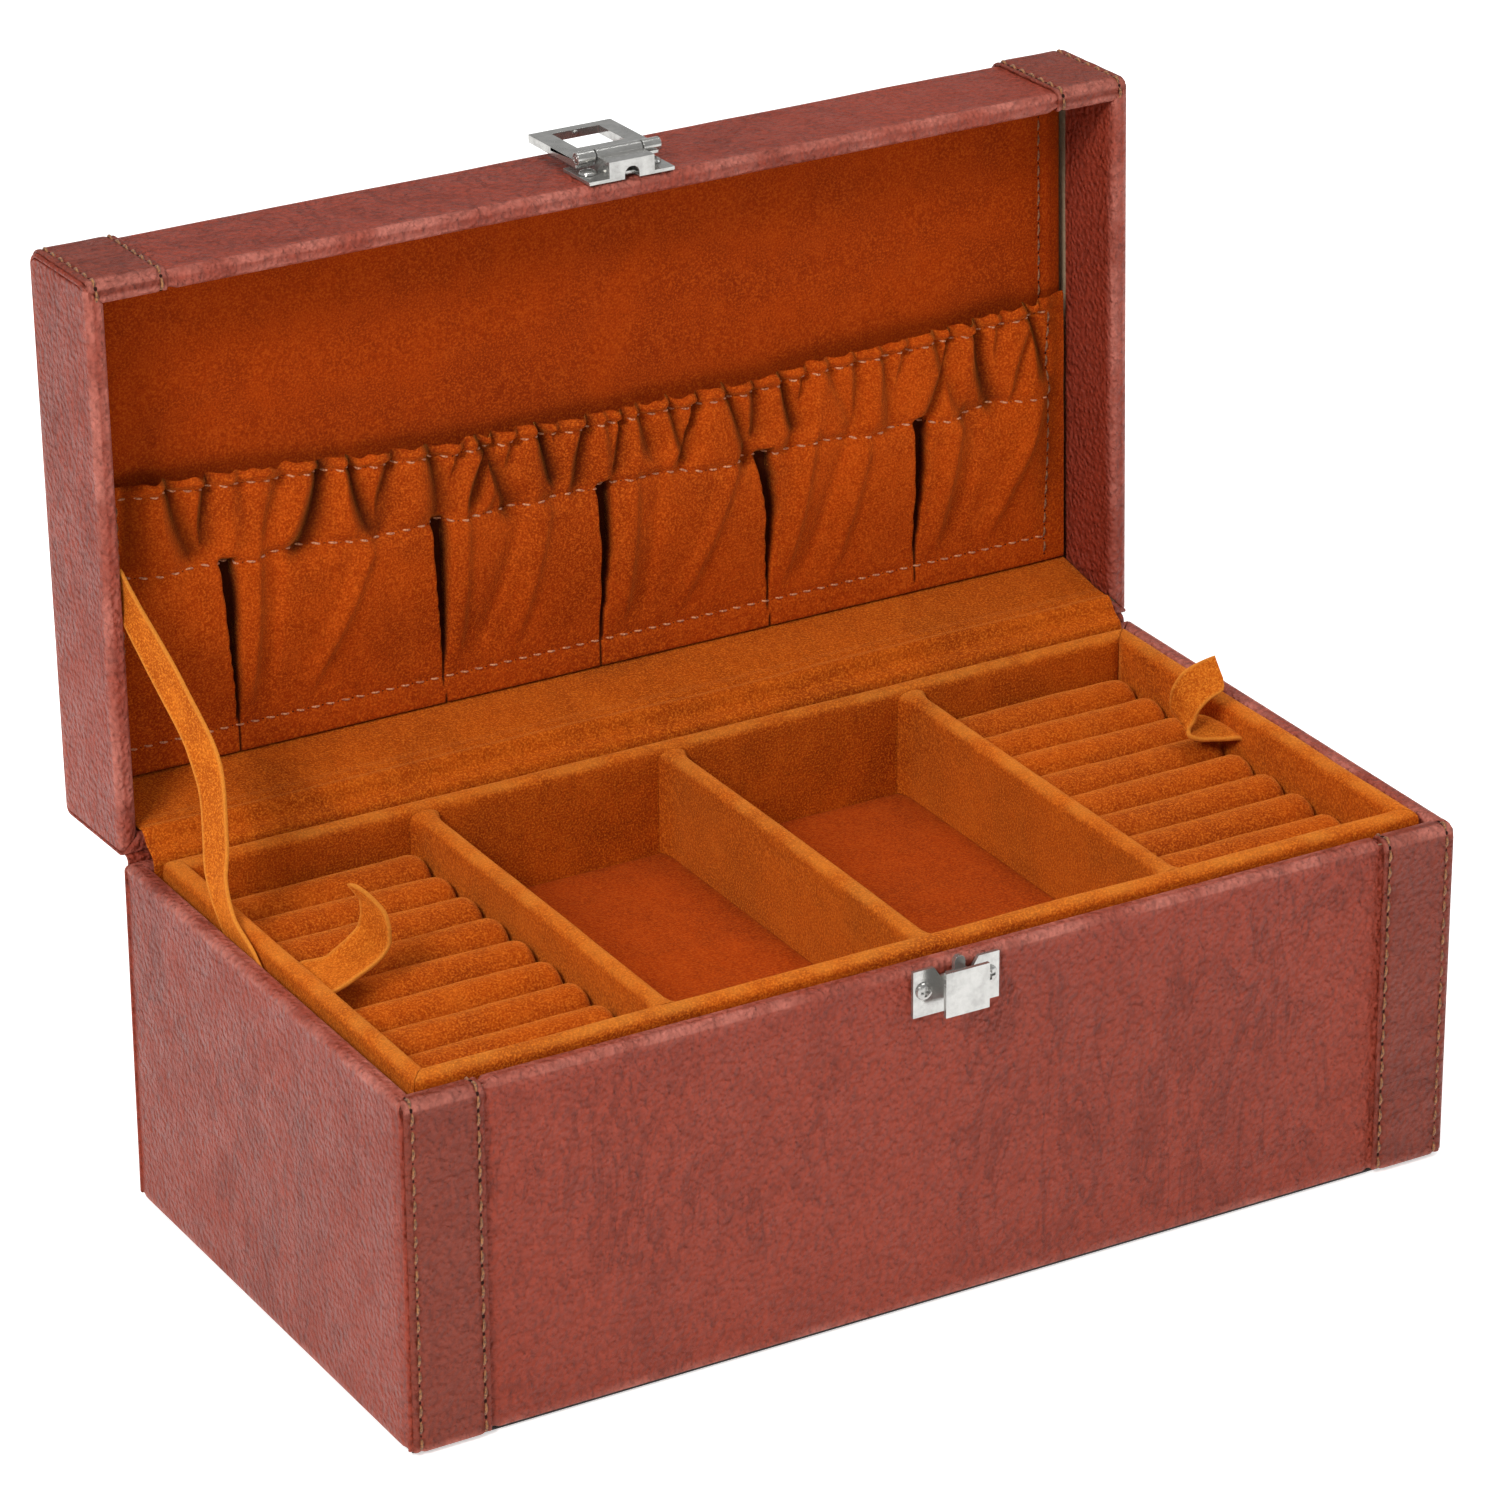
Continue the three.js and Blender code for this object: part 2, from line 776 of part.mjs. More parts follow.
// ---- Clasp bracket, pin and loop ----
const bracketBack = lidFront - fitGap;
const bracketFront = bracketBack - plateThickness;
const housingTop = lidFront - housingHeight;
const pinY = lidFront - pinProud;
const pinZ = rim + pinAboveRim;
const bracketLow = rim + bracketDrop;
const housingHalf = housingWidth / 2;

function archCutter() {
  const half = postWidth / 2 + archClearance;
  const crownY = lidFront - postProud - postThickness - archClearance;
  const shape = new THREE.Shape();
  shape.moveTo(claspCentre - half, lidFront + 1);
  shape.lineTo(claspCentre - half, crownY + half);
  shape.absarc(claspCentre, crownY + half, half, Math.PI, 2 * Math.PI, false);
  shape.lineTo(claspCentre + half, lidFront + 1);
  return alongZ(shape, bracketLow - 1, bracketLow + housingWall + 2);
}

place(
  lid,
  'clasp_bracket',
  cut(
    join(
      block(
        claspCentre - wingEnd,
        claspCentre + wingEnd,
        bracketFront,
        bracketBack,
        bracketLow,
        bracketLow + bracketLength,
      ),
      cut(
        block(
          claspCentre - housingHalf,
          claspCentre + housingHalf,
          housingTop,
          bracketBack,
          bracketLow,
          pinZ,
        ),
        block(
          claspCentre - housingHalf + housingWall,
          claspCentre + housingHalf - housingWall,
          housingTop + housingWall,
          bracketFront,
          bracketLow + housingWall,
          pinZ + 1,
        ),
      ),
      rodAlongX(barrelRadius, claspCentre - housingHalf, claspCentre + housingHalf, pinY, pinZ),
    ),
    archCutter(),
    rodAlongX(
      pinRadius + pinClearance,
      claspCentre - housingWidth,
      claspCentre + housingWidth,
      pinY,
      pinZ,
    ),
    ...lidScrewCutters,
  ),
  chrome,
);
place(
  lid,
  'clasp_pin',
  rodAlongX(pinRadius, claspCentre - loopWidth / 2, claspCentre + loopWidth / 2, pinY, pinZ),
  chrome,
);
for (const [name, x] of Object.entries(screwX)) {
  place(lid, `clasp_screw_${name}`, screw(x, lidScrewZ, lidFront), chrome);
}

// Distances along the loop are measured from the pin. When the clasp is shut, the window
// surrounds the catch plate and the far bar lies under its lower edge.
const pinToCatchTop = pinAboveRim + rimGap + catchDrop;
const windowStart = pinToCatchTop - loopClearance;
const windowEnd = pinToCatchTop + catchHeight + loopClearance + nubReach;
const loopEnd = windowEnd + loopBar;
const windowHalf = catchWidth / 2 + loopClearance;
const armInner = housingHalf + loopArmGap;
const loopHalf = loopWidth / 2;

function loopGeometry() {
  const y0 = pinY + loopOffset;
  const y1 = y0 + loopThickness;
  const frame = block(
    claspCentre - loopHalf,
    claspCentre + loopHalf,
    y0,
    y1,
    pinZ,
    pinZ + loopEnd,
  );
  const window = block(
    claspCentre - windowHalf,
    claspCentre + windowHalf,
    y0 - 1,
    y1 + 1,
    pinZ + windowStart,
    pinZ + windowEnd,
  );
  const housingSpace = block(
    claspCentre - armInner,
    claspCentre + armInner,
    y0 - 1,
    y1 + 1,
    pinZ - barrelRadius,
    pinZ + nearBarStart,
  );
  const knuckles = [-1, 1].map((side) => {
    const from = claspCentre + side * armInner;
    const to = claspCentre + side * loopHalf;
    return rodAlongX(barrelRadius, Math.min(from, to), Math.max(from, to), pinY, pinZ);
  });
  const nubZ = pinZ + windowEnd;
  const nub = new THREE.CylinderGeometry(nubRadius, nubRadius, 2 * nubReach, 12);
  nub.rotateX(Math.PI / 2).translate(claspCentre, y0 + nubRadius + fitGap, nubZ);
  const bore = rodAlongX(
    pinRadius + pinClearance,
    claspCentre - loopWidth,
    claspCentre + loopWidth,
    pinY,
    pinZ,
  );
  return cut(join(cut(frame, window, housingSpace), ...knuckles, nub), bore);
}

const claspLoop = new THREE.Group();
claspLoop.position.copy(lid.position);
claspLoop.rotation.copy(lid.rotation);
place(claspLoop, 'clasp_loop', loopGeometry(), chrome);

// ---- Flexible pieces across the hinge ----
const flexible = new THREE.Group();

// A point of the open lid: `along` is measured from the hinge across the lid's opening and
// `deep` from the hinge line towards the lid's top.
function openPoint(along, deep) {
  const point = new THREE.Vector3(0, -along, deep).applyAxisAngle(axisX, -openRadians).add(hinge);
  return [point.y, point.z];
}

const backInset = halfDepth - skinY; // back leather's face inside the hinge line
const spineOffset = fitGap + spineThickness / 2;
const spinePoints = [
  [skinY + spineOffset, baseHeight - spineReach],
  [skinY + spineOffset, baseHeight - 1.2],
  openPoint(backInset - spineOffset, rim + 1),
  openPoint(backInset - spineOffset, spineReach),
];
place(
  flexible,
  'spine_leather',
  alongX(bentSheet(spinePoints, spineThickness), -halfWidth + bandWidth, halfWidth - bandWidth),
  leatherBand,
);

const stripOffset = fitGap + stripThickness / 2;
const stripY = innerY - stripOffset - fitGap;
const stripPoints = [
  [stripY, baseHeight - stripTail],
  [stripY, baseHeight + 0.6],
  openPoint(backInset + wall + stripOffset + 0.5, rim),
  openPoint(backInset + wall + stripOffset, rim + 3),
  openPoint(backInset + wall + stripOffset, rim + panelDepth - 1),
];
place(
  flexible,
  'hinge_strip',
  alongX(bentSheet(stripPoints, stripThickness), -innerX + stripSideGap, innerX - stripSideGap),
  velvet,
);

// The stay ribbon runs slack from the lid's left wall to the gap beside the tray. Each point is
// an offset inwards from the wall, then back and up from the hinge line.
const stayOuter = innerX - fitGap - stayThickness / 2;
const stayRoute = [
  [0.1, 8, 73.2],
  [0.9, 1, 65.7],
  [2.2, -7.7, 58],
  [3.4, -17.2, 50],
  [4.1, -28.5, 41.2],
  [4.1, -34.7, 32.2],
  [2.6, -39, 19.7],
  [0.8, -43, 10.2],
  [0.2, -51, 1.2],
  [0.1, -62, -3.8],
  [0.1, -71, -11.3],
];
const stayPoints = stayRoute.map(
  ([inwards, back, up]) => new THREE.Vector3(inwards - stayOuter, hinge.y + back, hinge.z + up),
);
const stayAcross = stayPoints.map((point, i) => {
  const before = stayPoints[Math.max(i - 1, 0)];
  const after = stayPoints[Math.min(i + 1, stayPoints.length - 1)];
  return after.clone().sub(before).cross(axisX).normalize();
});
place(flexible, 'stay_ribbon', strap(stayPoints, stayAcross, stayWidth, stayThickness), velvet);

const jewelleryCase = new THREE.Group();
jewelleryCase.add(base, tray, lid, claspLoop, flexible);

export default jewelleryCase;
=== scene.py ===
"""Looks for the leather jewellery case: leather shells, bands, velvet tray, gathered pocket and clasp.
Sizes are in millimetres until a mesh is made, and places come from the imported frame."""

import json
import math
import random

import bmesh
import bpy
from mathutils import Matrix, Vector, noise


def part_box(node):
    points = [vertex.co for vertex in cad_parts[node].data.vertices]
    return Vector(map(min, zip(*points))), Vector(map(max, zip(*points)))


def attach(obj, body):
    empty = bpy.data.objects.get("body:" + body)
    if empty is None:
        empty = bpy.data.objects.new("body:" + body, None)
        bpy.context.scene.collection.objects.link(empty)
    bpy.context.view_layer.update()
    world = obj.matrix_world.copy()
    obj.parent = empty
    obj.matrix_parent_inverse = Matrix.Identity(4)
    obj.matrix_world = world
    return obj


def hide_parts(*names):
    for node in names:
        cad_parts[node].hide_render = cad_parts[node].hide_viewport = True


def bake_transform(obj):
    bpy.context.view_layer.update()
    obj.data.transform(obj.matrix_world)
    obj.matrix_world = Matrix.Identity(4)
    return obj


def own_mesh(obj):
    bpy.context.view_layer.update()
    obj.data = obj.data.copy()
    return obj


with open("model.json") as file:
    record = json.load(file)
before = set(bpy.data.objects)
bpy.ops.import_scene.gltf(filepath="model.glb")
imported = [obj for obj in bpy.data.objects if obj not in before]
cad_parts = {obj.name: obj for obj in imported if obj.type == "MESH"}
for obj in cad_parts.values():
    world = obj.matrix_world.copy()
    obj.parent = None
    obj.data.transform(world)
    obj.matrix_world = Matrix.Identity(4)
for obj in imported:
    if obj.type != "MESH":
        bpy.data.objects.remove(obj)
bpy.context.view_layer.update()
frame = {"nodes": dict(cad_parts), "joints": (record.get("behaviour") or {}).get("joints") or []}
scene = bpy.context.scene
MM = 0.001

LEATHER = 1.0  # thicknesses
BAND = 0.9
STRIP = 0.8  # of the velvet and leather that bend at the hinge
POCKET_CLOTH = 1.1
RIM_ROUND = 2.1  # outer radii
LID_ROUND = 3.6
LID_BACK_ROUND = 2.4
INNER_ROUND = 1.6  # where a hide turns down inside a wall
TURN_IN = 8  # how far the base's hides reach down inside
LID_WALL = 5  # a lid wall with its leather
HIDE_STEP = 2.2  # between points along a hide's path
BAR_STEP = 2.4  # along a tray wall
MITRE_GAP = 0.05
BAND_INSET = 0.9  # from the case's corner to the band's folded edge
BAND_OVER_RIM = -0.05  # a band ends this little below its CAD rim, so that shut rims stay clear
STITCH_INSET_OUTER = 2.9  # stitch lines from the edges of a band
STITCH_INSET_INNER = 1.7
STITCH_PITCH = 4.6
LINING_PITCH = 4.2
STITCH_SIDES, STITCH_RUNGS, HOLE_SIDES = 6, 7, 8

# ---- Places ----
joint = {j["name"]: j for j in frame["joints"]}
HINGE = Vector(joint["lid_hinge"]["pos_m"]) / MM
OPEN = math.radians(joint["lid_hinge"]["range_deg"][1])
ALONG = Vector((0, -math.cos(OPEN), math.sin(OPEN)))  # across the lid's opening, from the hinge
DEEP = Vector((0, math.sin(OPEN), math.cos(OPEN)))  # from the rim to the top of the lid


def mm_box(node):
    lo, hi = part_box(node)
    return lo / MM, hi / MM


def lid_point(x, along, deep):
    return HINGE + Vector((x, 0, 0)) + ALONG * along + DEEP * deep


def lid_box(node):
    """A lid node's lowest and highest corner as (x, along, deep)."""
    spots = [v.co / MM - HINGE for v in frame["nodes"][node].data.vertices]
    rows = [(p.x, p.dot(ALONG), p.dot(DEEP)) for p in spots]
    return Vector(map(min, zip(*rows))), Vector(map(max, zip(*rows)))


# ---- Small maths ----
def clamp(value, low=0.0, high=1.0):
    return max(low, min(high, value))


def smooth(low, high, value):
    t = clamp((value - low) / (high - low))
    return t * t * (3 - 2 * t)


def bump(value, centre, width):
    return math.exp(-(((value - centre) / width) ** 2))


def wander(*place, scale=20.0, seed=0.0):
    """Smooth noise, about -1 to 1, that changes over scale millimetres."""
    spot = [p / scale for p in place] + [0.0] * (3 - len(place))
    return noise.noise(Vector(spot) + Vector((seed, seed * 1.7, seed * 0.3)))


def rounded_path(corners, radii, step):
    """Points in a plane along a polyline with rounded corners, at most a step apart."""
    corners = [Vector(c) for c in corners]
    points = [corners[0]]
    for before, here, after, radius in zip(corners, corners[1:], corners[2:], radii):
        a, b = (before - here).normalized(), (after - here).normalized()
        half = a.angle(b) / 2
        reach = radius / math.tan(half)
        centre = here + (a + b).normalized() * (radius / math.sin(half))
        start, end = here + a * reach - centre, here + b * reach - centre
        turn = start.angle(end)
        count = max(4, round(turn * radius / min(step, 0.5)))
        for k in range(count + 1):
            t = k / count
            arm = start * math.sin((1 - t) * turn) + end * math.sin(t * turn)
            points.append(centre + arm / math.sin(turn))
    points.append(corners[-1])
    filled = [points[0]]
    for a, b in zip(points, points[1:]):
        pieces = max(1, math.ceil((b - a).length / step))
        filled += [a.lerp(b, k / pieces) for k in range(1, pieces + 1)]
    return filled


def path_normals(path, side=1):
    """Unit normals of a path in a plane, to its left for side 1 and to its right for side -1."""
    normals = []
    for i, here in enumerate(path):
        t = path[min(i + 1, len(path) - 1)] - path[max(i - 1, 0)]
        normals.append(Vector((-t.y, t.x)).normalized() * side)
    return normals


def curve_through(points, per_span):
    """A smooth line through points in space, as positions."""
    ends = [points[0] * 2 - points[1], *points, points[-1] * 2 - points[-2]]
    line = []
    for a, b, c, d in zip(ends, ends[1:], ends[2:], ends[3:]):
        for k in range(per_span):
            t = k / per_span
            square = (a * 2 - b * 5 + c * 4 - d) * t**2
            cube = (b * 3 - a - c * 3 + d) * t**3
            line.append((b * 2 + (c - a) * t + square + cube) / 2)
    return [*line, points[-1]]


def path_length(path):
    return sum((b - a).length for a, b in zip(path, path[1:]))


def as_xyz(s, p, q):
    return Vector((s, p, q))


# ---- Mesh builders ----
def make(name, points, faces, finish, sharp=50):
    """A mesh object from millimetre points, smooth but for edges sharper than an angle."""
    mesh = bpy.data.meshes.new(name)
    mesh.from_pydata([p * MM for p in points], [], faces)
    work = bmesh.new()
    work.from_mesh(mesh)
    bmesh.ops.recalc_face_normals(work, faces=work.faces)
    work.to_mesh(mesh)
    work.free()
    mesh.shade_smooth()
    mesh.set_sharp_from_angle(angle=math.radians(sharp))
    mesh.materials.append(finish)
    obj = bpy.data.objects.new(name, mesh)
    scene.collection.objects.link(obj)
    return obj


def paint(obj, name, values):
    """Writes one number per point, which a material reads by its name."""
    obj.data.attributes.new(name, "FLOAT", "POINT").data.foreach_set("value", values)


def tube_faces(base, rings, count):
    """Faces of a closed tube of rings, whose points start at base, with flat ends."""
    faces = []
    for i in range(rings - 1):
        low, high = base + i * count, base + (i + 1) * count
        for k in range(count):
            n = (k + 1) % count
            faces.append((low + k, low + n, high + n, high + k))
    last = base + (rings - 1) * count
    faces.append(tuple(reversed(range(base, base + count))))
    faces.append(tuple(range(last, last + count)))
    return faces


def loft(name, rings, finish, sharp=50):
    """A closed skin over rings of points that all have the same count."""
    points = [p for ring in rings for p in ring]
    return make(name, points, tube_faces(0, len(rings), len(rings[0])), finish, sharp)


def sheet_section(low, high, thickness, columns):
    """(s, h, share) round a thin section with round edges. share is 1 on the top face and 0 below."""
    r = thickness / 2
    spots = [low + r + (high - low - thickness) * k / columns for k in range(columns + 1)]
    arc = [math.radians(a) for a in (60, 30, 0, -30, -60)]
    right = [(high - r + r * math.cos(a), -r + r * math.sin(a), 0.5) for a in arc]
    left = [(low + r - r * math.cos(a), -r + r * math.sin(a), 0.5) for a in reversed(arc)]
    top = [(s, 0.0, 1.0) for s in spots]
    under = [(s, -thickness, 0.0) for s in reversed(spots)]
    return top + right + under + left


def sweep(name, path, place, finish, extent, thickness=LEATHER, side=1, columns=60, relief=None):
    """A sheet whose width runs across a path. place(s, p, q) gives the point, extent(p, q) the width's ends,
    and relief(s, d, p, q) lifts the top face, where d is the distance along the path."""
    rings, corner, distance = [], [], 0.0
    normals = path_normals(path, side)
    for i, (spot, normal) in enumerate(zip(path, normals)):
        distance += (spot - path[i - 1]).length if i else 0.0
        low, high = extent(spot.x, spot.y)
        before, after = normals[max(i - 1, 0)], normals[min(i + 1, len(path) - 1)]
        bent = smooth(0.1, 0.5, before.angle(after))
        ring = []
        for s, h, share in sheet_section(low, high, thickness, columns):
            lift = relief(s, distance, spot.x, spot.y) * share if relief else 0.0
            where = spot + normal * (h + lift)
            ring.append(place(s, where.x, where.y))
            corner.append(bent * share)
        rings.append(ring)
    obj = loft(name, rings, finish)
    # corner is 1 on the top face where the path bends; the leather paints a highlight there, partly pale
    # wear as well.
    paint(obj, "corner", corner)
    return obj


def surface_line(path, place, s, lift, side):
    """A line on a swept sheet at width s, as (points, normals)."""
    points, ups = [], []
    for spot, normal in zip(path, path_normals(path, side)):
        where = spot + normal * lift
        beyond = where + normal
        points.append(place(s, where.x, where.y))
        ups.append((place(s, beyond.x, beyond.y) - points[-1]).normalized())
    return points, ups


def walk(points, ups):
    """Turns a line into a function from the distance along it to (point, tangent, up)."""
    marks = [0.0]
    for a, b in zip(points, points[1:]):
        marks.append(marks[-1] + (b - a).length)

    def at(distance):
        i = 1
        while i < len(marks) - 1 and marks[i] < distance:
            i += 1
        t = clamp((distance - marks[i - 1]) / max(1e-9, marks[i] - marks[i - 1]))
        tangent = (points[i] - points[i - 1]).normalized()
        return points[i - 1].lerp(points[i], t), tangent, ups[i - 1].lerp(ups[i], t).normalized()

    return marks[-1], at


def stitch_tube(at, start, length, radius, lean):
    """Points of one stitch, a bent tube whose ends dive into the sheet."""
    points = []
    for i in range(STITCH_RUNGS):
        t = i / (STITCH_RUNGS - 1)
        spot, tangent, up = at(start + length * t)
        across = tangent.cross(up)
        rise = radius * (1.9 * math.sin(math.pi * t) - 0.95)
        middle = spot + up * rise + across * (lean * (2 * t - 1))
        wide = radius * (0.65 + 0.45 * math.sin(math.pi * t))
        for j in range(STITCH_SIDES):
            a = math.tau * j / STITCH_SIDES
            points.append(middle + across * (wide * math.cos(a)) + up * (wide * math.sin(a)))
    return points


def needle_hole(hole, tangent, up, radius):
    """Points of one needle hole: a ring, a low crown in its middle and a point below."""
    across = tangent.cross(up)
    turns = [math.tau * j / HOLE_SIDES for j in range(HOLE_SIDES)]
    ring = [hole + (tangent * math.cos(a) + across * math.sin(a)) * radius - up * 0.1 for a in turns]
    return [*ring, hole + up * 0.09, hole - up * 0.3]


def stitch_row(name, lines, finish, pitch=STITCH_PITCH, share=0.76, radius=0.36, slant=0.16):
    """Rows of sewn stitches on surface lines, with their needle holes."""
    rng = random.Random(name)
    points, faces, dark = [], [], []
    for line in lines:
        length, at = walk(*line)
        count = int(length / pitch)
        offset = (length - count * pitch) / 2
        for k in range(count):
            start = offset + (k + (1 - share) / 2) * pitch + rng.uniform(-0.12, 0.12)
            faces += tube_faces(len(points), STITCH_RUNGS, STITCH_SIDES)
            points += stitch_tube(at, start, share * pitch, radius, slant * rng.uniform(0.6, 1.4))
            ring = len(points)
            hole, tangent, up = at(start - (1 - share) / 2 * pitch)
            points += needle_hole(hole, tangent, up, radius * rng.uniform(1.15, 1.7))
            for j in range(HOLE_SIDES):
                n = (j + 1) % HOLE_SIDES
                dark += [len(faces), len(faces) + 1]
                faces.append((ring + j, ring + n, ring + HOLE_SIDES))
                faces.append((ring + n, ring + j, ring + HOLE_SIDES + 1))
    obj = make(name, points, faces, finish, sharp=80)
    # The hole faces take a near-black finish: painted shade for the dark inside of each needle hole.
    obj.data.materials.append(material("needle_hole"))
    for f in dark:
        obj.data.polygons[f].material_index = 1
    return obj


# ---- Materials ----
made_materials = {}


def material(name):
    if name not in made_materials:
        made_materials[name] = recipes[name](name)
    return made_materials[name]


class Nodes:
    """Short names for the nodes of one material."""

    def __init__(self, name):
        self.material = bpy.data.materials.new(name)
        self.material.use_nodes = True
        self.tree = self.material.node_tree
        self.shader = self.tree.nodes["Principled BSDF"]
        self.place = self.tree.nodes.new("ShaderNodeTexCoord").outputs["Object"]

    def add(self, kind, **settings):
        node = self.tree.nodes.new(kind)
        for key, value in settings.items():
            setattr(node, key, value)
        return node

    def link(self, a, b):
        self.tree.links.new(a, b)

    def set(self, node, **values):
        for key, value in values.items():
            node.inputs[key.replace("_", " ")].default_value = value

    def stretched(self, scale):
        node = self.add("ShaderNodeMapping")
        self.link(self.place, node.inputs["Vector"])
        self.set(node, Scale=scale)
        return node.outputs["Vector"]

    def noise(self, scale, detail=3.0, rough=0.55, distortion=0.0, place=None):
        node = self.add("ShaderNodeTexNoise")
        self.link(place or self.place, node.inputs["Vector"])
        self.set(node, Scale=scale, Detail=detail, Roughness=rough, Distortion=distortion)
        return node.outputs["Fac"]

    def cells(self, scale):
        node = self.add("ShaderNodeTexVoronoi", feature="SMOOTH_F1")
        self.link(self.place, node.inputs["Vector"])
        self.set(node, Scale=scale)
        return node.outputs["Distance"]

    def painted(self, name):
        return self.add("ShaderNodeAttribute", attribute_name=name).outputs["Fac"]

    def remap(self, value, low, high, to_low=0.0, to_high=1.0):
        node = self.add("ShaderNodeMapRange", interpolation_type="SMOOTHSTEP")
        self.link(value, node.inputs["Value"])
        self.set(node, From_Min=low, From_Max=high, To_Min=to_low, To_Max=to_high)
        return node.outputs["Result"]

    def maths(self, operation, a, b):
        node = self.add("ShaderNodeMath", operation=operation)
        for socket, value in zip(node.inputs, (a, b)):
            if isinstance(value, (int, float)):
                socket.default_value = value
            else:
                self.link(value, socket)
        return node.outputs["Value"]

    def mix(self, share, a, b):
        node = self.add("ShaderNodeMix", data_type="RGBA")
        self.link(share, node.inputs["Factor"])
        for socket, value in ((node.inputs["A"], a), (node.inputs["B"], b)):
            if isinstance(value, tuple):
                socket.default_value = (*value, 1.0)
            else:
                self.link(value, socket)
        return node.outputs["Result"]

    def relief(self, *layers):
        """layers are (height, strength, distance in metres), from the coarsest."""
        normal = None
        for height, strength, distance in layers:
            node = self.add("ShaderNodeBump")
            self.set(node, Strength=strength, Distance=distance)
            self.link(height, node.inputs["Height"])
            if normal:
                self.link(normal, node.inputs["Normal"])
            normal = node.outputs["Normal"]
        self.link(normal, self.shader.inputs["Normal"])

    def colour(self, value):
        self.link(value, self.shader.inputs["Base Color"])

    def rough(self, value):
        self.link(value, self.shader.inputs["Roughness"])

    def fixed(self, **values):
        self.set(self.shader, **values)
        return self.material


def leather_recipe(base, vein_stretch, wrinkle_stretch=None):
    """Pebbled hide with veins, creases and dark blotches, lighter on its rounded corners: a painted
    highlight, partly pale wear as well.
    """

    def build(name):
        n = Nodes(name)
        pebble = n.cells(760)
        grain = n.noise(620, 5, 0.66, 1.0, n.stretched((1.0, 1.0, 0.7)))
        fine = n.noise(2600, 2)
        blotch = n.noise(30, 6, 0.68, 0.3, n.stretched(vein_stretch))
        vein = n.noise(75, 6, 0.62, 1.5, n.stretched(vein_stretch))
        creases = n.remap(n.maths("ABSOLUTE", n.maths("SUBTRACT", vein, 0.5), 0), 0.0, 0.05, 1.0, 0.0)
        patch = n.remap(n.noise(17, 3), 0.45, 0.6)
        creases = n.maths("MULTIPLY", creases, patch)
        tone = n.mix(n.remap(blotch, 0.42, 0.78, 0.0, 0.5), base, RED_DARK)
        deep = tuple(c * 0.5 for c in RED_DARK)
        tone = n.mix(n.maths("MULTIPLY", creases, 0.32), tone, deep)
        # Lighter on the bends of each hide: a painted highlight, partly pale wear as well.
        rubbed_and_highlit = n.maths("MULTIPLY", n.painted("corner"), n.remap(n.noise(60, 4), 0.35, 0.65, 0.25, 1.0))
        tone = n.mix(n.maths("MULTIPLY", rubbed_and_highlit, 0.75), tone, RED_RUBBED_AND_HIGHLIT)
        tone = n.mix(n.remap(pebble, 0.38, 0.7, 0.0, 0.26), tone, deep)
        tone = n.mix(n.remap(grain, 0.5, 0.64, 0.0, 0.3), tone, deep)
        n.colour(tone)
        n.rough(n.remap(n.noise(90, 4), 0.3, 0.7, 0.34, 0.5))
        folds = n.noise(110, 6, 0.62, 1.1, n.stretched(wrinkle_stretch or (1.0, 1.0, 0.55)))
        n.relief(
            (n.noise(45, 3), 0.3, 0.0015),
            (folds, 0.8 if wrinkle_stretch else 0.5, 0.0012),
            (n.maths("SUBTRACT", 1.0, creases), 0.5, 0.0004),
            (n.maths("SUBTRACT", 1.0, grain), 0.9, 0.0009),
            (n.maths("SUBTRACT", 1.0, pebble), 1.0, 0.0011),
            (fine, 0.15, 0.0001),
        )
        return n.fixed(Specular_IOR_Level=0.2)

    return build


def velvet_recipe(base, dark, bright, sheen=0.6, paint=None):
    """Short pile, brushed here and there. paint names a vertex attribute: the fold attribute is painted
    shade deep in folds, and the other one pales edges and tops, partly as wear and partly as a painted
    highlight."""

    def build(name):
        n = Nodes(name)
        pile = n.noise(1900, 4, 0.7)
        tuft = n.noise(750, 4, 0.6)
        nap = n.noise(26, 4, 0.6, 0.6)
        brushed = n.noise(150, 5, 0.65, 0.8, n.stretched((1.0, 0.45, 0.8)))
        tone = n.mix(n.remap(nap, 0.25, 0.62, 0.35, 1.0), dark, base)
        tone = n.mix(n.remap(brushed, 0.46, 0.68, 0.0, 0.32), tone, dark)
        tone = n.mix(n.remap(brushed, 0.3, 0.5, 0.2, 0.0), tone, bright)
        tone = n.mix(n.remap(pile, 0.45, 0.66, 0.0, 0.95), tone, bright)
        tone = n.mix(n.remap(pile, 0.34, 0.5, 0.45, 0.0), tone, dark)
        tone = n.mix(n.remap(tuft, 0.5, 0.7, 0.0, 0.25), tone, dark)
        if paint:
            # Painted shade deep in folds, or pale edges and tops that are partly wear and partly a painted
            # highlight.
            share = n.painted(paint)
            target, most = (FOLD_SHADE, 0.93) if paint == "fold" else (WEAR_AND_EDGE_HIGHLIGHT, 0.6)
            tone = n.mix(n.remap(share, 0.05, 0.95, 0.0, most), tone, target)
        n.colour(tone)
        n.rough(n.remap(nap, 0.3, 0.7, 0.82, 0.98))
        n.relief((brushed, 0.3, 0.0008), (tuft, 0.5, 0.0005), (pile, 0.8, 0.0004))
        tint = (1.0, 0.36, 0.06, 1.0)
        return n.fixed(Sheen_Weight=sheen, Sheen_Roughness=0.24, Sheen_Tint=tint, Specular_IOR_Level=0.06)

    return build


def chrome_recipe(name):
    n = Nodes(name)
    wear = n.noise(240, 5, 0.7)
    scratch = n.noise(900, 3, 0.6, 0.3, n.stretched((1, 1, 0.06)))
    n.colour(n.mix(n.remap(wear, 0.35, 0.7), (0.50, 0.495, 0.475), (0.37, 0.365, 0.35)))
    n.rough(n.remap(wear, 0.35, 0.75, 0.12, 0.3))
    n.relief((wear, 0.05, 0.0002), (scratch, 0.06, 0.00005))
    return n.fixed(Metallic=0.82)


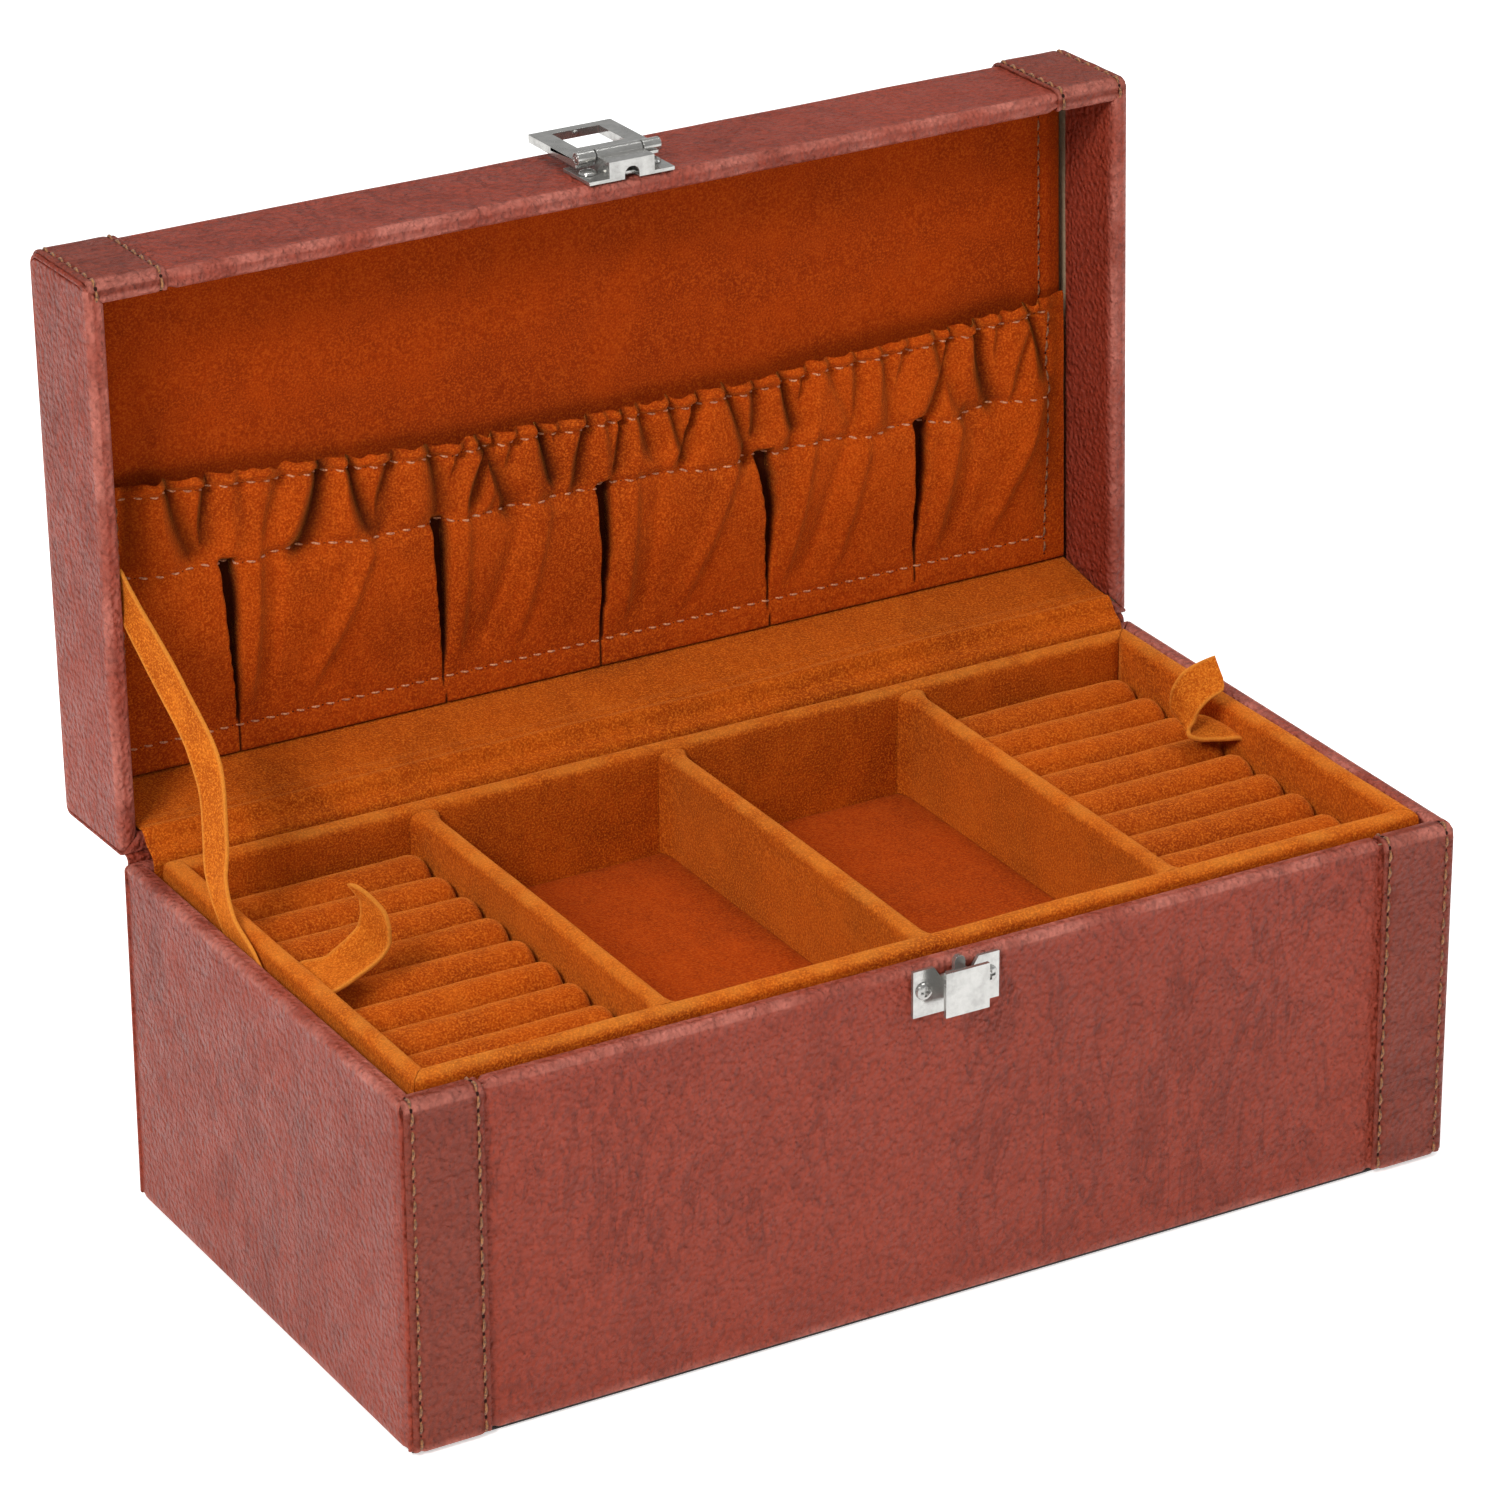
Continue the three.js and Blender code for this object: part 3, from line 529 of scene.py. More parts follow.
def plain_recipe(grain, stretch, limits, colours, relief=(), **fixed):
    """A finish whose colour and relief follow one noise. grain is (scale, detail, roughness, distortion)."""

    def build(name):
        n = Nodes(name)
        fibre = n.noise(*grain, place=n.stretched(stretch) if stretch else None)
        n.colour(n.mix(n.remap(fibre, *limits) if limits else fibre, *colours))
        if relief:
            n.relief((fibre, *relief))
        return n.fixed(**fixed)

    return build


def thread_recipe(base, dark):
    look = {"Roughness": 0.7, "Sheen_Weight": 0.2}
    return plain_recipe((2400, 2, 0.5, 0.0), (1, 1, 0.7), (0.35, 0.65), (base, dark), (0.5, 0.0001), **look)


RED = (0.290, 0.043, 0.021)
RED_DARK = (0.160, 0.022, 0.011)
RED_RUBBED_AND_HIGHLIT = (0.54, 0.180, 0.135)  # painted highlight on the leather's rounded corners, partly pale wear as well
RUST = (0.46, 0.070, 0.0028)
RUST_DARK = (0.19, 0.022, 0.0012)
RUST_BRIGHT = (0.70, 0.175, 0.012)
FOLD_SHADE = (0.020, 0.004, 0.001)  # painted shade deep inside a fold and in a pleat's opening
WEAR_AND_EDGE_HIGHLIGHT = (0.66, 0.25, 0.035)  # pale cut edges and crests: partly wear, partly a painted highlight

recipes = {
    "leather": leather_recipe(RED, (1.0, 1.0, 0.3)),
    "leather_band": leather_recipe((0.222, 0.039, 0.021), (0.35, 1.0, 1.0), (0.22, 0.8, 1.0)),
    "velvet": velvet_recipe(RUST, RUST_DARK, RUST_BRIGHT),
    "velvet_rim": velvet_recipe(RUST, RUST_DARK, RUST_BRIGHT, paint="wear_and_highlight"),
    "velvet_panel": velvet_recipe((0.34, 0.036, 0.0018), (0.19, 0.018, 0.001), (0.48, 0.076, 0.005), 0.3),
    "velvet_pocket": velvet_recipe(
        (0.43, 0.052, 0.0024), (0.22, 0.024, 0.001), (0.64, 0.125, 0.009), paint="fold"
    ),
    "velvet_roll": velvet_recipe((0.40, 0.058, 0.0024), (0.19, 0.022, 0.0012), (0.62, 0.150, 0.011), 0.8),
    "velvet_ribbon": velvet_recipe(
        (0.50, 0.100, 0.006), (0.28, 0.044, 0.002), (0.74, 0.225, 0.020), 0.5, "wear_and_highlight"
    ),
    "chrome": chrome_recipe,
    "thread": thread_recipe((0.34, 0.130, 0.036), (0.09, 0.032, 0.010)),
    "thread_light": thread_recipe((0.72, 0.33, 0.15), (0.32, 0.09, 0.03)),
    "felt": plain_recipe(
        (1400, 5, 0.75, 1.5), None, (0.35, 0.7), ((0.012, 0.009, 0.008), (0.05, 0.042, 0.038)),
        (0.6, 0.0004), Roughness=0.97, Specular_IOR_Level=0.1, Sheen_Weight=0.25,
    ),
    "board": plain_recipe(
        (700, 6, 0.7, 0.6), (0.4, 1, 1), (0.35, 0.68), ((0.30, 0.21, 0.13), (0.42, 0.31, 0.20)),
        (0.3, 0.0002), Roughness=0.85, Specular_IOR_Level=0.2,
    ),
    "elastic": plain_recipe(
        (1200, 2, 0.4, 0.0), (1, 0.15, 0.15), (0.4, 0.6), ((0.62, 0.55, 0.46), (0.42, 0.36, 0.29)),
        (0.5, 0.0002), Roughness=0.8, Specular_IOR_Level=0.2,
    ),
    # painted shade: near black, for the inside of the needle holes
    "needle_hole": plain_recipe(
        (900, 2), None, None, ((0.012, 0.004, 0.003), (0.03, 0.01, 0.006)),
        Roughness=0.9, Specular_IOR_Level=0.1,
    ),
    "floor": plain_recipe(
        (0.7, 2), None, None, ((0.90, 0.90, 0.905), (0.93, 0.93, 0.93)),
        Roughness=0.9, Specular_IOR_Level=0.1, Emission_Color=(1, 1, 1, 1), Emission_Strength=0.52,
    ),
}


# ---- Camera, light and floor ----
VIEW_TURN = (-29.915, 24.764, -0.311)  # azimuth, elevation and roll in degrees
VIEW_SPOT = (-0.7404, -1.2655, 0.7970)  # metres
VIEW_LENS, VIEW_SENSOR = 155.14, 36
FLOOR_HALF = 14  # metres


def look_from_photo():
    """The photograph's viewpoint, solved from the case's corners."""
    azimuth, elevation, roll = map(math.radians, VIEW_TURN)
    level = math.cos(elevation)
    back = Vector((math.sin(azimuth) * level, -math.cos(azimuth) * level, math.sin(elevation)))
    right = Vector((0, 0, 1)).cross(back).normalized()
    up = back.cross(right)
    c, s = math.cos(roll), math.sin(roll)
    data = bpy.data.cameras.new("camera")
    data.sensor_width, data.lens = VIEW_SENSOR, VIEW_LENS
    data.clip_start, data.clip_end = 0.05, 60
    camera = bpy.data.objects.new("camera", data)
    scene.collection.objects.link(camera)
    turn = Matrix((right * c + up * s, up * c - right * s, back)).transposed()
    camera.matrix_world = Matrix.Translation(Vector(VIEW_SPOT)) @ turn.to_4x4()
    scene.camera = camera


def area_light(name, spot, aim, size, power, colour=(1, 1, 1)):
    data = bpy.data.lights.new(name, "AREA")
    data.shape = "RECTANGLE"
    data.size, data.size_y = size
    data.energy = power
    data.color = colour
    lamp = bpy.data.objects.new(name, data)
    scene.collection.objects.link(lamp)
    lamp.location = spot
    lamp.rotation_euler = (Vector(aim) - Vector(spot)).to_track_quat("-Z", "Y").to_euler()


def studio():
    world = bpy.data.worlds.new("studio")
    world.use_nodes = True
    background = world.node_tree.nodes["Background"]
    background.inputs["Color"].default_value = (1.0, 1.0, 1.0, 1.0)
    background.inputs["Strength"].default_value = 0.40
    scene.world = world
    area_light("key", (-1.7, -1.1, 1.7), (0, 0, 0.08), (0.7, 0.7), 44, (1.0, 0.985, 0.965))
    area_light("top", (0.2, 0.3, 2.0), (0, 0, 0.1), (1.1, 0.7), 19)
    area_light("right", (1.9, -0.5, 0.9), (0, 0, 0.1), (0.8, 1.2), 6, (0.97, 0.985, 1.0))
    work = bmesh.new()
    bmesh.ops.create_grid(work, x_segments=8, y_segments=8, size=FLOOR_HALF)
    mesh = bpy.data.meshes.new("floor")
    work.to_mesh(mesh)
    work.free()
    mesh.materials.append(material("floor"))
    floor = bpy.data.objects.new("floor", mesh)
    scene.collection.objects.link(floor)
    scene.view_settings.view_transform = "Standard"


# ---- Leather shells of the base ----
def hide_wave(s, d):
    """The slight unevenness of leather glued over board."""
    return 0.16 * wander(s, d, scale=38, seed=2) + 0.06 * wander(s, d, scale=11, seed=5)


def calm(rim, q):
    """0 at a rim, where base and lid meet, to 1 away from it."""
    return smooth(0.3, 4.0, abs(q - rim))


def wall_path(outer, inner, inward, low, rim):
    """Up the outside of a wall from under its foot, over the rim and down the inside."""
    corners = [(outer + 0.7 * inward, low), (outer, low), (outer, rim), (inner, rim), (inner, rim - TURN_IN)]
    return rounded_path(corners, (0.6, RIM_ROUND, INNER_ROUND), HIDE_STEP)


def hide_relief(s, d, q, low, rim):
    """A base hide's unevenness, which fades out at its foot and at the rim."""
    return hide_wave(s, d) * smooth(low, low + 6, q) * calm(rim, q)


def base_long_wall(name, front):
    """Front or back leather, mitred inside and pressed down under the bands."""
    lo, hi = mm_box(name)
    outer, inner = (lo.y, hi.y) if front else (hi.y, lo.y)
    inward = 1 if front else -1
    path = wall_path(outer, inner, inward, lo.z, hi.z)
    band_edge = -mm_box("base_band_left")[1].x

    def extent(p, q):
        short = max(0.0, (p - outer) * inward) if q > hi.z - 10 else 0.0
        return lo.x + short, hi.x - short

    def relief(s, d, p, q):
        dip = 1.0 * smooth(hi.z - 3.5, hi.z - 1.5, q) if front and abs(s) > band_edge - 0.6 else 0.0
        dip += 0.8 * bump(abs(s), band_edge - 0.5, 0.7) if front else 0.0
        return hide_relief(s, d, q, lo.z, hi.z) - dip

    obj = sweep(name + "_hide", path, as_xyz, material("leather"), extent,
                side=inward, columns=200, relief=relief)
    settle(obj, "base", name)


def base_end_wall(name, left):
    """Left or right leather, its corners drawn in behind the long hides."""
    lo, hi = mm_box(name)
    outer, inner = (lo.x, hi.x) if left else (hi.x, lo.x)
    inward = 1 if left else -1
    path = wall_path(outer, inner, inward, lo.z, hi.z)

    def extent(p, q):
        across = (p - outer) * inward
        mitre = max(0.0, across - 1.2) if q > hi.z - 10 else 0.0
        return lo.y + mitre, hi.y - mitre

    def relief(s, d, p, q):
        corner_dip = 0.5 * smooth(hi.y - 3.0, hi.y, abs(s)) * smooth(hi.z - 1.0, hi.z - 3.0, q)
        return hide_relief(s, d, q, lo.z, hi.z) - corner_dip

    obj = sweep(name + "_hide", path, lambda s, p, q: Vector((p, s, q)), material("leather"), extent,
                side=inward, columns=70, relief=relief)
    settle(obj, "base", name)


def settle(obj, body, node):
    """Rides a piece on its body and hides the CAD node that it stands for."""
    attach(obj, body)
    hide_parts(node)


# ---- Stitched bands ----
def band_relief(low, high, stitch_lines, rim):
    """A folded band: puffed between its stitch lines, pulled down at them."""

    def relief(s, d, p, q):
        puff = 0.25 * smooth(low, low + 4, s) * smooth(high, high - 4, s)
        pull = sum(0.34 * bump(s, line, 0.6) for line in stitch_lines)
        ridge = 0.17 * wander(s * 0.25, d, scale=3.6, seed=9) * smooth(low, low + 3, s)
        return (puff + ridge) * calm(rim, q) - pull

    return relief


def band(node, path, place, side, body, rim):
    name = node + "_fold"
    lo, hi = mm_box(node)
    left = lo.x < 0
    insets = (STITCH_INSET_OUTER, STITCH_INSET_INNER)
    lines = (lo.x + insets[0], hi.x - insets[1]) if left else (lo.x + insets[1], hi.x - insets[0])
    relief = band_relief(lo.x, hi.x, lines, rim)
    low, high = (lo.x + BAND_INSET, hi.x) if left else (lo.x, hi.x - BAND_INSET)
    obj = sweep(name, path, place, material("leather_band"), lambda p, q: (low, high),
                thickness=BAND, side=side, columns=60, relief=relief)
    settle(obj, body, node)
    rows = [surface_line(path, place, s, -0.1, side) for s in lines]
    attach(stitch_row(name + "_stitches", rows, material("thread")), body)


def base_bands():
    inner = mm_box("base_leather_front")[1].y + 0.1
    for side_name in ("left", "right"):
        node = f"base_band_{side_name}"
        lo, hi = mm_box(node)
        rim = hi.z + BAND_OVER_RIM
        corners = [(lo.y + 0.9, lo.z), (lo.y, lo.z), (lo.y, rim), (inner, rim), (inner, rim - 8)]
        path = rounded_path(corners, (0.5, RIM_ROUND + 0.5, 1.5), 1.4)
        band(node, path, as_xyz, 1, "base", rim)


def lid_bands(cover_lo, cover_hi):
    rim = cover_lo.z - BAND_OVER_RIM
    inner, back = cover_hi.y - 5.1, cover_lo.y - 0.2
    for side_name in ("left", "right"):
        node = f"lid_band_{side_name}"
        hi = lid_box(node)[1]
        corners = [(inner, rim + 7), (inner, rim), (hi.y, rim), (hi.y, hi.z), (back, hi.z), (back, hi.z - 3)]
        path = rounded_path(corners, (1.4, RIM_ROUND + 0.4, LID_ROUND + 0.5, 2.6), 1.4)
        band(node, path, lid_point, -1, "lid", rim)


# ---- Leather shells of the lid ----
def lid_cover(cover_lo, cover_hi):
    """The leather over the lid's front, top and back, turned in at both rims."""
    rim, top = cover_lo.z, cover_hi.z
    front, back = cover_hi.y, cover_lo.y
    inner_front, inner_back = front - LID_WALL, back + LID_WALL
    corners = [(inner_front, 23), (inner_front, rim), (front, rim), (front, top)]
    corners += [(back, top), (back, rim), (inner_back, rim), (inner_back, 9)]
    path = rounded_path(corners, (INNER_ROUND, RIM_ROUND, LID_ROUND, LID_BACK_ROUND, 1.0, 1.4), HIDE_STEP)
    band_edge = -mm_box("lid_band_left")[1].x

    def extent(p, q):
        across = min(front - p, p - back)
        short = clamp(across, 0, LID_WALL) if across < 7 and q < 24 else 0.0
        return cover_lo.x + short, cover_hi.x - short

    def relief(s, d, p, q):
        under_band = abs(s) > band_edge - 0.6 and p > 20
        dip = 0.9 * smooth(rim + 3.5, rim + 1.5, q) if under_band else 0.0
        return hide_wave(s, d) * calm(rim, q) - dip

    obj = sweep("lid_leather_hide", path, lid_point, material("leather"), extent,
                side=-1, columns=120, relief=relief)
    settle(obj, "lid", "lid_leather_cover")


def lid_end(name, left, cover_lo, cover_hi):
    """A lid end: down the lining, over the rim and up the outside, cut to the cover's rounded edges."""
    lo, hi = lid_box(name)
    outer, inner = (lo.x, hi.x) if left else (hi.x, lo.x)
    inward = 1 if left else -1
    rim, top = cover_lo.z, cover_hi.z
    foot = top - 0.2
    corners = [(inner, 23.6), (inner, rim), (outer, rim), (outer, foot), (outer + 0.6 * inward, foot)]
    path = rounded_path(corners, (INNER_ROUND, RIM_ROUND, 0.5), 2.0)
    low, high = cover_lo.y + 1.1, cover_hi.y - 1.1

    def round_cut(q, radius):
        """How much shorter the end is at q, where the lid's edge rounds over."""
        fall = clamp(q - (top - radius), 0, radius)
        return radius - math.sqrt(max(0.0, radius**2 - fall**2))

    def extent(p, q):
        across = (p - outer) * inward
        if across > 1.2:
            return low + min(across, LID_WALL) - 1.0, high - min(across, LID_WALL) + 1.0
        return low + round_cut(q, LID_BACK_ROUND), high - round_cut(q, LID_ROUND)

    obj = sweep(name + "_hide", path, lambda s, p, q: lid_point(p, s, q), material("leather"), extent,
                side=inward, columns=70,
                relief=lambda s, d, p, q: hide_wave(s, d) * calm(rim, q))
    settle(obj, "lid", name)


# ---- Tray ----
def wall_ring(width, low, high, round_top):
    """(across, height) round a wall's section with a rounded top, across measured from its middle."""
    half, rows = width / 2, 9
    straight = high - round_top
    left = [(-half, low + (straight - low) * k / rows) for k in range(rows)]
    crown = []
    for k in range(9):
        a = math.pi * (1 - k / 8)
        crown.append((half * math.cos(a), straight + round_top * math.sin(a)))
    right = [(half, low + (straight - low) * k / rows) for k in reversed(range(rows))]
    return left + crown + right


def velvet_bar(name, ring, start, end, place, ends, seed):
    """A velvet-covered bar. ends(across) gives how far each end is cut back there."""
    count = max(2, round((end - start) / BAR_STEP))
    top = max(height for _, height in ring)
    rings, wear_and_highlight = [], []
    for i in range(count + 1):
        t = i / count
        points = []
        for across, height in ring:
            rubbed_and_highlit = 0.75 + 0.5 * wander(start + (end - start) * t, across, scale=7, seed=seed + 5)
            # Paler toward the top of the bar: partly wear, partly a painted highlight on its crest.
            wear_and_highlight.append(0.6 * clamp(rubbed_and_highlit) * smooth(top - 2.6, top - 0.6, height))
            cut = ends(across)
            where = start + cut + (end - start - 2 * cut) * t
            soft = 0.16 * wander(where, across, height, scale=9, seed=seed)
            lift = 0.22 * wander(where, seed * 3, scale=26, seed=seed)
            points.append(place(across * (1 + soft / 6), where, height + lift * smooth(80, 94, height)))
        rings.append(points)
    obj = loft(name, rings, material("velvet_rim"), sharp=60)
    paint(obj, "wear_and_highlight", wear_and_highlight)
    return obj


WALLS = (("front", 1, 0, 4), ("back", -1, 0, 2), ("left", 1, 1, 8), ("right", -1, 1, 6))


def tray_walls():
    """Four walls with mitred corners. run is the axis, 0 or 1, that a wall runs along."""
    for name, sign, run, seed in WALLS:
        node = f"tray_wall_{name}"
        lo, hi = mm_box(node)
        middle, width = (lo[1 - run] + hi[1 - run]) / 2, hi[1 - run] - lo[1 - run]

        def place(across, along, height, middle=middle, run=run):
            flat = (middle + across, along) if run else (along, middle + across)
            return Vector((*flat, height))

        def ends(across, sign=sign, width=width, run=run):
            return width / 2 + across * sign + MITRE_GAP * run

        ring = wall_ring(width, lo.z, hi.z, 2.5)
        obj = velvet_bar(node + "_cover", ring, lo[run], hi[run], place, ends, seed)
        settle(obj, "tray", node)


def tray_dividers():
    for index, name in enumerate(("left", "centre", "right")):
        node = f"tray_divider_{name}"
        lo, hi = mm_box(node)
        middle, width = (lo.x + hi.x) / 2, hi.x - lo.x
        ring = wall_ring(width - 0.6, lo.z, hi.z, 2.2)

        def place(across, y, z, middle=middle, lo=lo, hi=hi):
            """Flares where the divider meets a wall, and leans a little in between."""
            flare = 0.55 * (bump(y, lo.y, 2.2) + bump(y, hi.y, 2.2))
            lean = 0.5 * wander(y, z, scale=60, seed=middle) * smooth(70, 96, z)
            return Vector((middle + across * (1 + flare) + lean, y, z + 0.8 * flare * smooth(85, 96, z)))

        obj = velvet_bar(node + "_cover", ring, lo.y, hi.y, place, lambda across: 0.0, 11 + index)
        settle(obj, "tray", node)


def tray_floor():
    lo, hi = mm_box("tray_floor")
    path = rounded_path([(lo.y, hi.z), (hi.y, hi.z)], (), 2.5)
    obj = sweep("tray_floor_cover", path, as_xyz, material("velvet_panel"), lambda p, q: (lo.x, hi.x),
                thickness=hi.z - lo.z, columns=110,
                relief=lambda s, d, p, q: -0.05 - 0.1 * abs(wander(s, d, scale=24)))
    settle(obj, "tray", "tray_floor")


def ring_roll(node, index):
    """A padded roll that stands on the tray floor, its ends drawn in round a pucker."""
    lo, hi = mm_box(node)
    radius = (hi.y - lo.y) / 2 - 0.05
    middle = (lo.y + hi.y) / 2
    crest = hi.z - 0.35
    rng = random.Random(index * 7 + (1 if lo.x < 0 else 2))
    tilt = rng.uniform(-0.5, 0.5)
    count, around = 44, 28
    rings = []
    for i in range(count + 1):
        t = i / count
        c = math.cos(math.pi * t)
        x = lo.x + (hi.x - lo.x) * (0.5 - 0.5 * c * (0.9 + 0.1 * abs(c)))
        near_end = min(x - lo.x, hi.x - x)
        shrink = math.sqrt(max(0.0, 1 - (1 - clamp(near_end / 4.2)) ** 2.4))
        shrink = 0.42 + 0.58 * shrink
        ring = []
        for k in range(around):
            a = math.tau * k / around
            across, up = math.sin(a), math.cos(a)
            r = radius * shrink * (1 + 0.022 * wander(x, a * 6, scale=8, seed=index))
            tall = crest - radius + tilt * (2 * t - 1) * 0.5 + 0.3 * wander(x, scale=24, seed=index * 2)
            if up >= 0:
                z = tall + r * up
            else:
                z = tall + (tall - radius * (1 - shrink) - lo.z) * up * 0.98
            ring.append(Vector((x, middle + r * across * (1 if up >= 0 else 0.97), z)))
        rings.append(ring)
    obj = loft(node + "_pad", rings, material("velvet_roll"), sharp=70)
    settle(obj, "tray", node)


TAB_EDGES = {  # back and front edge of each tab, from its root at the side wall
    "left": (
        ((-1.4, 8.5, 2.6), (1.5, 8.4, 4.4), (4.8, 8.2, 4.3), (8.4, 8.0, 4.5), (11.7, 7.5, 6.9),
         (14.3, 7, 9.0), (16.5, 6.5, 11.6), (17.1, 6, 14.3), (17.0, 5.5, 17.3), (16.2, 4.5, 20.4),
         (14.2, 3.4, 23.0), (11.7, 3.0, 26.0)),
        ((-1.4, -8.2, 1.0), (1.1, -8, 2.7), (3.4, -8, 3.4), (6.8, -7.5, 4.2), (12.4, -6.5, 5.9),
         (17.2, -5.5, 8.0), (19.7, -4.5, 10.4), (20.3, -4, 13.2), (20.2, -3.4, 15.9), (19.3, -2, 19.2),
         (16.0, 0.4, 23.6), (12.4, 1.8, 26.7)),
    ),
    "right": (
        ((1.4, 5.6, 1.0), (-1.1, 5.5, 2.6), (-3.5, 6.0, 4.2), (-5.9, 6.5, 5.0), (-8.3, 7.0, 4.6),
         (-11.4, 7.5, 5.8), (-13.3, 8, 8.5), (-13.6, 8, 11.5), (-13.2, 7.5, 14.9), (-10.5, 7, 18.5),
         (-5.9, 6.5, 20.3), (-1.9, 5.5, 21.5)),
        ((1.4, -5.4, 0.8), (-0.3, -5.2, 1.6), (-3.3, -4.5, 1.7), (-7.1, -3.5, 2.0), (-11.0, -2.5, 2.5),
         (-13.5, -1.5, 3.7), (-12.8, -0.5, 5.2), (-11.3, -0.5, 6.9), (-10.3, -0.5, 9.5), (-7.2, -0.5, 12.1),
         (-3.0, -0.5, 14.0), (-2.0, 1.0, 16.4)),
    ),
}


def pull_tab(side_name):
    """A velvet tab glued at the side wall, lying out over the rolls and curling up to its tip."""
    node = f"pull_tab_{side_name}"
    lo, hi = mm_box(node)
    left = side_name == "left"
    root = Vector((lo.x if left else hi.x, (lo.y + hi.y) / 2, lo.z))
    edges = [curve_through([root + Vector(spot) for spot in edge], 6) for edge in TAB_EDGES[side_name]]
    line = [(a + b) / 2 for a, b in zip(*edges)]
    widths = [(a - b).length for a, b in zip(*edges)]
    spans = [(a - b).normalized() for a, b in zip(*edges)]
    obj, length = ribbon(node + "_velvet", line, widths, 1.0, lambda t: spans[round(t * (len(spans) - 1))],
                         round_tip=left, square=False)
    settle(obj, "tray", node)
    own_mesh(obj)


def ribbon(name, line, widths, thickness, across_at, round_tip=False, square=True):
    """A soft strap along a line in space, its edges a little thicker. Returns it and its length.
    square keeps its width at a right angle to the line."""
    rings, length, wear_and_highlight = [], 0.0, []
    for i, spot in enumerate(line):
        t = i / (len(line) - 1)
        tangent = (line[min(i + 1, len(line) - 1)] - line[max(i - 1, 0)]).normalized()
        across = across_at(t)
        across = (across - tangent * across.dot(tangent)).normalized() if square else across
        up = tangent.cross(across).normalized()
        length += (spot - line[i - 1]).length if i else 0.0
        half = widths[i] / 2
        if round_tip and i >= len(line) - 6:
            half *= math.sqrt(max(0.02, 1 - ((i - len(line) + 7) / 6) ** 2.2))
        cupped = 0.05 * half
        ring = []
        for s, h, _ in sheet_section(-half, half, min(thickness, half), 10):
            # Paler along the edges: partly wear, partly a painted highlight.
            wear_and_highlight.append(smooth(half - 1.0, half - 0.2, abs(s)))
            rim = 0.105 * smooth(half - 1.1, half - 0.2, abs(s)) * (1 if h > -thickness / 2 else -1)
            curl = cupped * (s / half) ** 2
            fuzz = 0.08 * wander(length, s, scale=3.0, seed=4)
            ring.append(spot + across * (s + fuzz) + up * (h + thickness / 2 + rim + curl + fuzz))
        rings.append(ring)
    obj = loft(name, rings, material("velvet_ribbon"))
    paint(obj, "wear_and_highlight", wear_and_highlight)
    return obj, length


# ---- Lid lining ----
def lid_panel():
    """The padded panel in the lid, pulled down at its two rows of stitches."""
    lo, hi = lid_box("lid_panel")
    seam_x = hi.x - 7.8

    def relief(s, d, p, q):
        edge = min(s - lo.x, hi.x - s, p - lo.y, hi.y - p)
        pillow = -1.6 * (1 - smooth(0, 5, edge))
        line = -0.7 * sum(bump(s, x, 0.8) for x in (-seam_x, seam_x))
        return pillow + line + 0.25 * wander(s, p, scale=45, seed=3) - 0.3

    path = rounded_path([(lo.y, lo.z), (hi.y, lo.z)], (), 1.6)
    obj = sweep("lid_panel_pad", path, lid_point, material("velvet_panel"), lambda p, q: (lo.x, hi.x),
                thickness=hi.z - lo.z, side=-1, columns=170, relief=relief)
    settle(obj, "lid", "lid_panel")
    rows = [surface_line(path[2:-2], lid_point, x, -0.75, -1) for x in (seam_x, -seam_x)]
    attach(stitch_row("lid_panel_stitches", rows, material("thread"), LINING_PITCH, radius=0.26), "lid")


